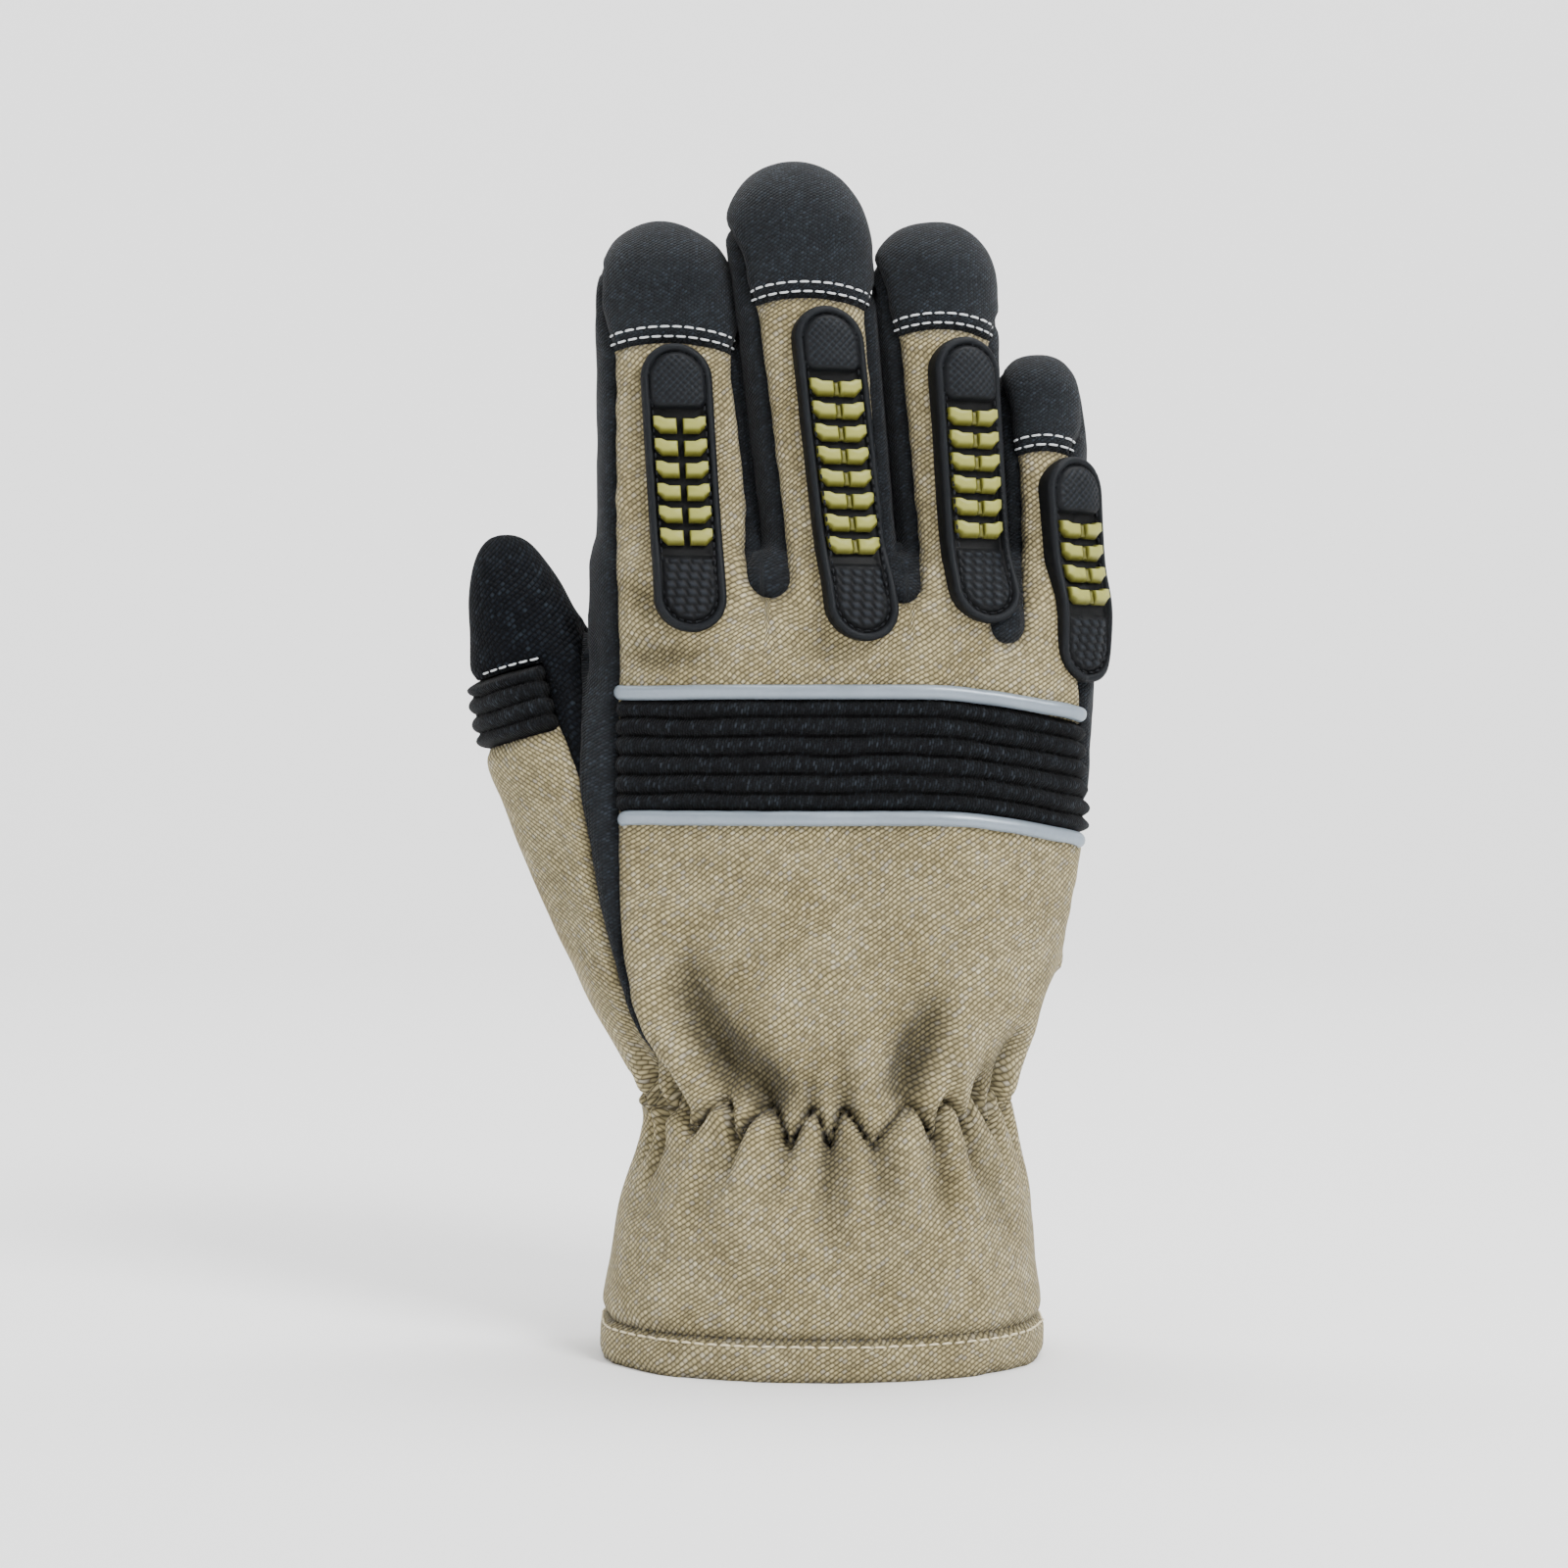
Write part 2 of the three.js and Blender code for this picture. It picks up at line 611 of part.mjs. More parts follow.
// Finger guards are drawn in a plane in front of the finger: u across it, v down from the guard's top
function guardFrame(i) {
  const finger = fingers[i];
  const top = crotchLevel + guards[i].top * fingerLength;
  const axis = (z) => (creaseX(creases[i], z) + creaseX(creases[i + 1], z)) / 2;
  const lean = (axis(top) - axis(crotchLevel)) / (top - crotchLevel);
  const place = new THREE.Matrix4().makeRotationZ(radians(guards[i].turn))
    .setPosition(axis(top), finger.forward * handDepth, top);
  return { place, lean };
}

function guardRegion(i, outline) {
  const { place, lean } = guardFrame(i);
  const points = outline.map(([u, v]) => [u + lean * v, v]);
  return solidOf(prismGeometry(points, -farAway, 0, 0).applyMatrix4(place));
}

// How far the hand's surface lies in front of a finger's middle
function bedDepth(i, u, v) {
  const { place } = guardFrame(i);
  let [low, high] = [0, farAway / 4];
  for (let k = 0; k < 24; k += 1) {
    const depth = (low + high) / 2;
    const p = new THREE.Vector3(u, -depth, v).applyMatrix4(place);
    if (insideHand(i, p.x, p.y, p.z)) low = depth;
    else high = depth;
  }
  return low;
}

// From the finger's middle out to a top that is flat across the blocks and slopes off to the sides
function bed(i, heights, lift) {
  const { place, lean } = guardFrame(i);
  const edge = guardWidth / 2 + 1;
  const flat = guardWidth / 2 - guardRim;
  const rings = heights.map((v) => {
    const middle = lean * v;
    const depth = (u) => bedDepth(i, middle + u, v) + lift;
    const top = [[-edge, depth(-edge)], [-flat, depth(0)], [flat, depth(0)], [edge, depth(edge)]];
    const corners = [...top, [edge, 0], [-edge, 0]];
    return corners.map(([u, out]) => new THREE.Vector3(middle + u, -out, v).applyMatrix4(place));
  });
  return loft(rings.reverse());
}

const arcSteps = 3;
function stadium(half, top, bottom) {
  const points = [];
  for (let k = 0; k <= arcSteps; k += 1) {
    const angle = (Math.PI * k) / arcSteps;
    points.push([half * Math.cos(angle), top - half + half * Math.sin(angle)]);
  }
  for (let k = 0; k <= arcSteps; k += 1) {
    const angle = Math.PI + (Math.PI * k) / arcSteps;
    points.push([half * Math.cos(angle), bottom + half + half * Math.sin(angle)]);
  }
  return points;
}

const box = (half, top, bottom) => [[-half, top], [half, top], [half, bottom], [-half, bottom]];

function chevron(side, v) {
  const foot = v - blockHeight / 2;
  const head = v + blockHeight / 2;
  const reach = guardWidth / 2 - guardRim - seamGap;
  return [
    [side * (blockGroove / 2), foot],
    [side * reach, foot + blockTip],
    [side * reach, head + blockTip],
    [side * (blockGroove / 2), head],
  ];
}

const outer = handSolid(bodyLoft(0), 0);
const inner = handSolid(bodyHollow(wall), -wall);
const clearance = handSolid(bodyLoft(seamGap), seamGap);
let rest = outer.subtract(inner);
const taken = [];

// Cut a region out of what is left of the shell, and keep the rest a seam away from it
function clear(region) {
  const grown = region(seamGap);
  rest = rest.subtract(grown);
  taken.push(grown);
}

function take(region) {
  const piece = rest.intersect(region(0));
  clear(region);
  return piece;
}

const pieces = [];

// The cuts leave crumbs beside a piece where two seams run together: only the piece itself is kept
function add(name, solid, finish) {
  const bodies = solid.decompose().sort((a, b) => b.volume() - a.volume());
  pieces.push(meshOf(name, bodies[0], finish));
}

const slab = (low, high) => (grow) => prism(
  [[-farAway, low - grow], [farAway, low - grow], [farAway, high + grow], [-farAway, high + grow]],
  -farAway, farAway);

// A raised solid takes the place of the shell inside its region
function raised(solid, region) {
  return taken.reduce((left, gone) => left.subtract(gone), solid.subtract(inner).intersect(region));
}

// Hem: its own slightly wider ring
function hem() {
  const level = (z) => ringPoints(bodySection(z), coarseSides, hemRaise);
  const ring = loft([level(0), level(hemHeight)]);
  const whole = ring.subtract(inner);
  clear(slab(-1, hemHeight));
  add('hem_palm', whole.intersect(cuffPalmRegion(0)), blackKnit);
  add('hem_back', whole.subtract(cuffPalmRegion(seamGap)), tanCloth);
}

function cuff() {
  const whole = take(slab(-1, cuffHeight));
  add('cuff_palm', whole.intersect(cuffPalmRegion(0)), blackKnit);
  add('cuff_back', whole.subtract(cuffPalmRegion(seamGap)), tanCloth);
}

function sideStrips() {
  add('side_strip_index', take(indexSideRegion), blackKnit);
  creases.forEach((crease, i) => {
    if (i === 0) return;
    const region = (grow) => stripRegion(i, false, grow).add(stripRegion(i, true, grow));
    add(i === 4 ? 'side_strip_little' : `web_${crease.name}`, take(region), blackKnit);
  });
}

function fingerCaps() {
  fingers.forEach((finger, i) => {
    const level = crotchLevel + finger.length * fingerLength * (1 - finger.cap);
    const left = creaseX(creases[i], level);
    const right = creaseX(creases[i + 1], level);
    const top = crotchLevel + 1.3 * fingerLength;
    const far = finger.forward * handDepth + 0.24 * fingerDepth;
    const region = (grow) => prism(
      [[left, level], [right, level], [right, top], [left - 0.06 * handWidth, top]], -farAway, far, grow);
    add(`cap_${finger.name}`, take(region), blackKnit);
  });
}

function thumb() {
  add('thumb_rib_band', raised(thumbRibLoft(), thumbBandRegion(0)), blackRib);
  clear(thumbBandRegion);
  const foot = thumbBandFoot + thumbBandRise;
  const below = (grow) => prism([
    [handX(-farOut), -1], [handX(farOut), -1], [handX(farOut), foot], [handX(-farOut), foot],
  ], -farAway, farAway, grow);
  const onBack = indexSideSeams.map(({ height, left }) => ({ height, left: -farOut, right: left }));
  onBack.unshift({ height: 0, left: -farOut, right: -0.3 });
  const onPalm = palmSeams.map((row) => ({ height: row.height, left: -farOut, right: row.left }));
  const back = (grow) => between(onBack, toBack, grow).add(between(onPalm.slice(0, 6), toPalm, grow))
    .intersect(below(grow));
  add('thumb_back', take(back), tanCloth);
  const upper = [0.6, 1.3].map((height) => ({ height, left: -farOut, right: -0.44 }));
  const shell = (grow) => between(thumbSeams, toPalm, grow).add(between(upper, toBack, grow));
  add('thumb_shell', take(shell), blackKnit);
}

function knuckleBand() {
  const ribbed = raisedBody(bandBottom, bandTop, bandRibs * 2,
    (share) => bandRibRaise * Math.abs(Math.sin(Math.PI * bandRibs * share)) ** 0.7);
  const roundPiping = (share) => pipingRaise * Math.sin(Math.PI * share) ** 0.5;
  const piping = (low, high) => raisedBody(low, high, 4, roundPiping);
  const upper = [bandTop + seamGap, bandTop + seamGap + pipingWidth];
  const lower = [bandBottom - seamGap - pipingWidth, bandBottom - seamGap];
  const whole = [lower[0], upper[1]];
  add('knuckle_band', raised(ribbed, bandRegion(bandBottom, bandTop, 0)), blackRib);
  add('piping_upper', raised(piping(...upper), bandRegion(...upper, 0)), greyReflective);
  add('piping_lower', raised(piping(...lower), bandRegion(...lower, 0)), greyReflective);
  clear((grow) => bandRegion(...whole, grow));
}

function panels() {
  const above = (grow) => prism([
    [handX(bandLeft), palmZ(0.7)],
    [handX(0.545), palmZ(0.7)],
    [handX(0.545), palmZ(3)],
    [handX(bandLeft - 0.04), palmZ(3)],
  ], -farAway, 0, grow);
  add('finger_back_panel', take(above), tanCloth);
  const palm = (grow) => between(palmSeams, toPalm, grow);
  add('palm_panel', take(palm), blackKnit);
  add('hand_back_panel', rest, tanCloth);
}

function palmPatch() {
  const top = palmZ(patchTop);
  const side = handX(farOut);
  const drop = patchTopSlope * side;
  const under = prism([
    [-side, cuffHeight], [side, cuffHeight], [side, top + drop], [-side, top - drop],
  ], 0, farAway);
  const region = between(patchSeams, [0, farAway], 0).intersect(under);
  const lift = seamGap + patchThickness;
  add('palm_patch', handSolid(bodyLoft(lift), lift).subtract(clearance).intersect(region), blackKnit);
}

function fingerGuards() {
  fingers.forEach((finger, i) => {
    const guard = guards[i];
    const half = guardWidth / 2;
    const inside = guardRim + guardChannel;
    const topEnd = -guardRim - topPad * guard.pads;
    const blocksEnd = topEnd - (guard.rows + 0.5) * blockPitch;
    const bottom = blocksEnd - bottomPad * guard.pads - guardRim;
    const heights = [1, topEnd, blocksEnd, (blocksEnd + bottom) / 2, bottom - 1];
    const reach = (lift) => bed(i, heights, lift);
    const pads = guardRegion(i, stadium(half - inside, -inside, bottom + inside))
      .subtract(guardRegion(i, box(half, topEnd, blocksEnd)));
    const pool = guardRegion(i, stadium(half - guardRim, -guardRim, bottom + guardRim))
      .subtract(pads).subtract(reach(guardFloor));
    const frame = reach(guardRaise).intersect(guardRegion(i, stadium(half, 0, bottom)))
      .subtract(pool).subtract(clearance);
    add(`guard_frame_${finger.name}`, frame, blackRubber);
    const floor = guardFloor + seamGap;
    const plate = guardRegion(i, box(half - inside, topEnd - seamGap, blocksEnd + seamGap));
    const rows = Array.from({ length: guard.rows }, (_, row) => topEnd - (row + 0.75) * blockPitch);
    const blocks = rows.flatMap((v) => [-1, 1].map((side) => guardRegion(i, chevron(side, v))));
    const standing = blocks.reduce((sum, block) => sum.add(block)).intersect(reach(blockRaise));
    const insert = reach(floor + insertPlate).intersect(plate).add(standing).subtract(reach(floor));
    add(`guard_blocks_${finger.name}`, insert, yellowRubber);
  });
}

hem();
cuff();
sideStrips();
fingerCaps();
thumb();
knuckleBand();
panels();
palmPatch();
fingerGuards();

const glove = new THREE.Group();
pieces.forEach((piece) => glove.add(piece));

// The origin is the middle of the glove's footprint box, on the floor
const bounds = new THREE.Box3().setFromObject(glove);
const middle = bounds.getCenter(new THREE.Vector3());
pieces.forEach((piece) => piece.position.set(-middle.x, -middle.y, -bounds.min.z));

export default glove;
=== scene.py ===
import math

import bpy
import numpy as np
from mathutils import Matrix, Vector
from mathutils.bvhtree import BVHTree
from mathutils.kdtree import KDTree


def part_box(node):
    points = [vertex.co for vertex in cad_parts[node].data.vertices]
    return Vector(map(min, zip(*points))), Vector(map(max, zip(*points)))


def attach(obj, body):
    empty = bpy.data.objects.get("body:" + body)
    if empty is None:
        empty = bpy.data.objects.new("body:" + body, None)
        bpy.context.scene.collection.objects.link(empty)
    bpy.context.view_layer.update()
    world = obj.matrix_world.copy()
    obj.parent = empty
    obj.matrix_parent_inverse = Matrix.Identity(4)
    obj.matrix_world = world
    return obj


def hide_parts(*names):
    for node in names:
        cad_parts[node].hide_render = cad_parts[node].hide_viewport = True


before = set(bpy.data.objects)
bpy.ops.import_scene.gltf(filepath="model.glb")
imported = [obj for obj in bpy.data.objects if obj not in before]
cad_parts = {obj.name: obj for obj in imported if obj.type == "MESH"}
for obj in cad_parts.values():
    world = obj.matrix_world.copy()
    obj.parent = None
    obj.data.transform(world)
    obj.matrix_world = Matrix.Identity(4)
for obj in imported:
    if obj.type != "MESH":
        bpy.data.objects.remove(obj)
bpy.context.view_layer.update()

# Sizes in millimetres, the same as the solids'. The glove's own frame has x = 0 at the middle of the
# cuff; frameShift moves it to the row frame.
glove = {
    "cuffHeight": 59.0,
    "palmHeight": 125.0,
    "fingerLength": 96.0,
    "thumbHeight": 135.5,
    "handWidth": 117.5,
    "handDepth": 42.0,
    "wristWidth": 81.0,
    "wristShift": 2.4,
    "wristDepth": 52.0,
    "cuffWidth": 103.0,
    "cuffDepth": 74.0,
    "fingerDepth": 27.0,
    "fingerGap": 0.3,
    "voxel": 1.15,
    "wall": 2.2,
}
hemLow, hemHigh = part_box("hem_palm")
frameShift = np.array([(hemLow.x + hemHigh.x) * 500, 0.0, 0.0])
crotchLevel = glove["cuffHeight"] + glove["palmHeight"]
fingerLine = crotchLevel + 0.73 * glove["fingerLength"]
handWidth = glove["handWidth"]
handDepth = glove["handDepth"]


def table(names, *rows):
    columns = names.split()
    return [dict(zip(columns, row)) for row in rows]


cuffSections = table(
    "height flare",
    (0, 1), (0.17, 0.99), (0.36, 0.9), (0.52, 0.77), (0.68, 0.58), (0.84, 0.3), (1, 0),
)
wristShare = glove["wristDepth"] / 2 / handDepth
palmSections = table(
    "height width shift back palm",
    (0, glove["wristWidth"] / handWidth, glove["wristShift"] / handWidth, wristShare, wristShare),
    (0.05, 0.745, 0.018, 0.6, 0.62),
    (0.16, 0.855, 0.012, 0.575, 0.6),
    (0.37, 0.955, 0.022, 0.545, 0.57),
    (0.58, 0.992, 0.035, 0.525, 0.54),
    (0.8, 1.002, 0.045, 0.51, 0.52),
    (0.93, 1, 0.047, 0.475, 0.475),
    (1, 0.985, 0.047, 0.4, 0.4),
    (1.025, 0.95, 0.047, 0.36, 0.36),
)
crotchSlope = -0.085
creases = table(
    "name root top strip",
    ("index_side", -0.45, -0.448, 0.13),
    ("index_middle", -0.108, -0.179, 0.175),
    ("middle_ring", 0.153, 0.102, 0.165),
    ("ring_little", 0.363, 0.35, 0.15),
    ("little_side", 0.545, 0.51, 0.19),
)
fingers = table(
    "name length cap depth forward turn top rows pads",
    ("index", 0.862, 0.38, 1, 0, 6, 0.541, 6, 1),
    ("middle", 1, 0.362, 1.03, -0.05, 15, 0.627, 8, 1),
    ("ring", 0.862, 0.342, 0.96, -0.01, 21, 0.557, 6, 0.98),
    ("little", 0.537, 0.48, 0.84, 0.075, 31, 0.277, 4, 0.87),
)
thumbSections = table(
    "height left right near far",
    (0.02, -0.315, -0.05, -0.09, 0.2),
    (0.15, -0.45, -0.05, -0.1, 0.23),
    (0.3, -0.543, -0.09, -0.1, 0.25),
    (0.46, -0.625, -0.15, -0.085, 0.25),
    (0.6, -0.68, -0.25, -0.06, 0.238),
    (0.72, -0.712, -0.38, -0.035, 0.228),
    (0.81, -0.72, -0.475, -0.018, 0.218),
    (1.0, -0.732, -0.572, 0.02, 0.19),
)
thumbLean = 0.22 # its rings drop towards the palm by this slope
thumbDome = 0.81 # share of its height where the rounded tip begins
tipRound = 2.6 # power of the tip's curve, 2 is an ellipse


# A column of a table between its rows, on a smooth curve through them
def curve(rows, key, at):
    h = np.array([row["height"] for row in rows], float)
    v = np.array([row[key] for row in rows], float)
    slope = np.empty_like(v)
    slope[1:-1] = (v[2:] - v[:-2]) / (h[2:] - h[:-2])
    slope[0] = (v[1] - v[0]) / (h[1] - h[0])
    slope[-1] = (v[-1] - v[-2]) / (h[-1] - h[-2])
    at = np.clip(at, h[0], h[-1])
    i = np.clip(np.searchsorted(h, at, side="right") - 1, 0, len(h) - 2)
    span = h[i + 1] - h[i]
    t = (at - h[i]) / span
    a = (2 * t**3 - 3 * t**2 + 1) * v[i] + (t**3 - 2 * t**2 + t) * slope[i] * span
    b = (3 * t**2 - 2 * t**3) * v[i + 1] + (t**3 - t**2) * slope[i + 1] * span
    return a + b


def smoothstep(x, low, high):
    t = np.clip((x - low) / (high - low), 0, 1)
    return t * t * (3 - 2 * t)


# The hand as one smooth field: body, four fingers and thumb
def bodySection(z):
    flare = curve(cuffSections, "flare", z / glove["cuffHeight"])
    share = (z - glove["cuffHeight"]) / glove["palmHeight"]
    low = z < glove["cuffHeight"]
    half = (glove["wristWidth"] + flare * (glove["cuffWidth"] - glove["wristWidth"])) / 2
    depth = (glove["wristDepth"] + flare * (glove["cuffDepth"] - glove["wristDepth"])) / 2
    aside = glove["wristShift"] * (1 - flare**2)
    shift = np.where(low, aside, curve(palmSections, "shift", share) * handWidth)
    wide = np.where(low, half, curve(palmSections, "width", share) * handWidth / 2)
    back = np.where(low, depth, curve(palmSections, "back", share) * handDepth)
    palm = np.where(low, depth, curve(palmSections, "palm", share) * handDepth)
    return shift, wide, back, palm


# The plain numbers of a section at one level
def single(section):
    return (float(np.atleast_1d(v)[0]) for v in section)


def bodyValue(p):
    x, y, z = p.T
    near = smoothstep(z, crotchLevel - 0.35 * glove["palmHeight"], crotchLevel)
    level = z - near * crotchSlope * (x - 0.04 * handWidth)
    shift, wide, back, palm = bodySection(level)
    n = 2.25
    across = np.abs(x - shift) / wide
    deep = np.abs(y) / np.where(y < 0, back, palm)
    up = np.clip((level - crotchLevel + 5) / 8, 0, None)
    return (across**n + deep**n + up**n) ** (1 / n) - 1


def creaseX(crease, z):
    climb = (z - crotchLevel) / (fingerLine - crotchLevel)
    return (crease["root"] + (crease["top"] - crease["root"]) * climb) * handWidth


def fingerSection(i, z):
    finger = fingers[i]
    left = creaseX(creases[i], z) + (glove["fingerGap"] / 2 if i > 0 else 0)
    right = creaseX(creases[i + 1], z) - (glove["fingerGap"] / 2 if i < 3 else 0)
    climb = np.clip((z - crotchLevel) / (finger["length"] * glove["fingerLength"]), 0, 1)
    depth = glove["fingerDepth"] / 2 * finger["depth"] * (1.2 - 0.2 * climb**0.6)
    return (left + right) / 2, finger["forward"] * handDepth, (right - left) / 2, depth


# Level of a fingertip and height of its rounded end
def fingerEnd(i):
    tip = crotchLevel + fingers[i]["length"] * glove["fingerLength"]
    return tip, float(fingerSection(i, np.array([tip]))[2][0]) * 1.15


def fingerValue(i, p):
    x, y, z = p.T
    tip, dome = fingerEnd(i)
    midX, midY, wide, depth = fingerSection(i, np.minimum(z, tip))
    up = np.clip((z - tip + dome) / dome, 0, None)
    n = 2.25
    return ((np.abs(x - midX) / wide) ** n + (np.abs(y - midY) / depth) ** n + up**n) ** (1 / n) - 1


def thumbSection(height):
    columns = ("left", "right", "near", "far")
    left, right, near, far = (curve(thumbSections, key, height) * handWidth for key in columns)
    return (left + right) / 2, (near + far) / 2, (right - left) / 2, (far - near) / 2


def leanAt(height):
    return thumbLean * smoothstep(height, 0.3, 0.6) * (1 - smoothstep(height, 0.8, 1))


def thumbValue(p):
    x, y, z = p.T
    height = (z - glove["cuffHeight"]) / glove["thumbHeight"]
    midY = thumbSection(height)[1]
    height = height + leanAt(height) * (y - midY) / glove["thumbHeight"]
    midX, midY, wide, depth = thumbSection(np.minimum(height, 1))
    dome = (1 - thumbDome) * 0.97
    up = np.clip((height - thumbDome) / dome, 0, None)
    down = np.clip((0.05 - height) / 0.1, 0, None)
    n = 2.1
    section = ((np.abs(x - midX) / wide) ** n + (np.abs(y - midY) / depth) ** n + down**n) ** (1 / n)
    return (section**tipRound + up**tipRound) ** (1 / tipRound) - 1


def distance(value, p, step=0.05):
    here = value(p)
    slopes = []
    for axis in range(3):
        moved = p.copy()
        moved[:, axis] += step
        slopes.append((value(moved) - here) / step)
    return here / np.maximum(np.sqrt(sum(s * s for s in slopes)), 1e-3)


def blend(a, b, reach):
    h = np.clip(0.5 + 0.5 * (b - a) / reach, 0, 1)
    return b * (1 - h) + a * h - reach * h * (1 - h)


def handDistance(p):
    body = distance(bodyValue, p)
    below = 14 * (1 - smoothstep(p[:, 2], crotchLevel - 40, crotchLevel)) ** 1.5
    stalls = np.min([distance(lambda q, i=i: fingerValue(i, q), p) for i in range(4)], axis=0) + below
    thumb = distance(thumbValue, p)
    return blend(blend(body, stalls, 7.0), thumb, 9.0)


# Mesh tools on arrays
def bulged(v, n):
    return np.sign(v) * np.abs(v) ** (2 / n)


def ring(midX, midY, z, wide, back, palm, sides, n=2.25):
    angle = np.linspace(0, 2 * math.pi, sides, endpoint=False)
    depth = np.where(np.cos(angle) > 0, back, palm)
    x = midX + wide * bulged(np.sin(angle), n)
    y = midY - depth * bulged(np.cos(angle), n)
    return np.stack([x, y, np.full(sides, z)], 1)


def loftObject(name, rings):
    sides = len(rings[0])
    points = np.concatenate(rings + [rings[0].mean(0)[None], rings[-1].mean(0)[None]])
    faces = []
    for i in range(len(rings) - 1):
        for k in range(sides):
            a, b = i * sides + k, i * sides + (k + 1) % sides
            faces.append((a, b, b + sides, a + sides))
    low, high = len(points) - 2, len(points) - 1
    top = (len(rings) - 1) * sides
    for k in range(sides):
        faces.append((low, (k + 1) % sides, k))
        faces.append((high, top + k, top + (k + 1) % sides))
    mesh = bpy.data.meshes.new(name)
    mesh.from_pydata([tuple(p) for p in points], [], faces)
    made = bpy.data.objects.new(name, mesh)
    bpy.context.scene.collection.objects.link(made)
    return made


def select(*objects):
    bpy.ops.object.select_all(action="DESELECT")
    for o in objects:
        o.select_set(True)
    bpy.context.view_layer.objects.active = objects[0]


def arraysOf(mesh):
    mesh.calc_loop_triangles()
    points = np.empty(len(mesh.vertices) * 3, np.float32)
    mesh.vertices.foreach_get("co", points)
    tris = np.empty(len(mesh.loop_triangles) * 3, np.int32)
    mesh.loop_triangles.foreach_get("vertices", tris)
    return points.reshape(-1, 3).astype(float), tris.reshape(-1, 3)


def unit(v):
    return v / np.maximum(np.linalg.norm(v, axis=-1, keepdims=True), 1e-9)


def normalsOf(points, tris):
    a, b, c = (points[tris[:, k]] for k in range(3))
    flat = np.cross(b - a, c - a)
    out = np.zeros_like(points)
    for k in range(3):
        for axis in range(3):
            out[:, axis] += np.bincount(tris[:, k], flat[:, axis], len(points))
    return unit(out)


def compact(data, tris):
    used, flat = np.unique(tris, return_inverse=True)
    return data[used], flat.reshape(-1, 3)


# Splits triangles where value is 0 and gives back the part above it and the part below
def cut(data, tris, value):
    value = np.where(np.abs(value) < 1e-6, 1e-6, value)
    inside = value > 0
    count = inside[tris].sum(1)
    mixed = tris[(count == 1) | (count == 2)]
    odd = np.where(inside[mixed].sum(1) == 1, 1, 0)[:, None] == inside[mixed]
    first = odd.argmax(1)
    rows = np.arange(len(mixed))
    a, b, c = (mixed[rows, (first + k) % 3] for k in range(3))
    pairs = np.concatenate([np.stack([a, b], 1), np.stack([a, c], 1)])
    low, high = pairs.min(1), pairs.max(1)
    keys, back = np.unique(low.astype(np.int64) * len(data) + high, return_inverse=True)
    low, high = keys // len(data), keys % len(data)
    share = (value[low] / (value[low] - value[high]))[:, None]
    joined = np.concatenate([data, data[low] * (1 - share) + data[high] * share])
    ab, ac = (len(data) + back.reshape(2, -1))
    tips = np.stack([a, ab, ac], 1)
    stumps = np.concatenate([np.stack([ab, b, c], 1), np.stack([ab, c, ac], 1)])
    tipIn = inside[a]
    above = np.concatenate([tris[count == 3], tips[tipIn], stumps[np.tile(~tipIn, 2)]])
    under = np.concatenate([tris[count == 0], tips[~tipIn], stumps[np.tile(tipIn, 2)]])
    return compact(joined, above), compact(joined, under)


def edgesOf(tris):
    return np.concatenate([tris[:, [0, 1]], tris[:, [1, 2]], tris[:, [2, 0]]])


# Edges that only one triangle uses, in its own direction
def openEdges(tris, count):
    edges = edgesOf(tris)
    keys = edges.min(1).astype(np.int64) * count + edges.max(1)
    _, first, uses = np.unique(keys, return_index=True, return_counts=True)
    return edges[first[uses == 1]]


def subdivide(data, tris):
    edges = np.sort(edgesOf(tris), axis=1)
    keys, back = np.unique(edges[:, 0].astype(np.int64) * len(data) + edges[:, 1], return_inverse=True)
    middles = (data[keys // len(data)] + data[keys % len(data)]) / 2
    ab, bc, ca = len(data) + back.reshape(3, -1)
    a, b, c = tris.T
    quarters = ((a, ab, ca), (ab, b, bc), (ca, bc, c), (ab, bc, ca))
    split = np.concatenate([np.stack(corners, 1) for corners in quarters])
    return np.concatenate([data, middles]), split


# How far every point is from the piece's own open edge, up to 12 mm
def edgeDistance(points, tris):
    border = np.unique(openEdges(tris, len(points)))
    tree = KDTree(len(border))
    for k, i in enumerate(border):
        tree.insert(points[i], k)
    tree.balance()
    return np.array([min(tree.find(p)[2], 12.0) for p in points])


# Soft irregular waves of about one size, between about -1 and 1
def ripple(p, size, seed, count=7):
    random = np.random.default_rng(seed)
    ways = unit(random.normal(size=(count, 3)))
    lengths = size * random.uniform(0.7, 1.5, count)
    phases = random.uniform(0, 2 * math.pi, count)
    waves = np.sin(p @ (ways * (2 * math.pi / lengths)[:, None]).T + phases)
    return waves.sum(1) / math.sqrt(count) / 1.2


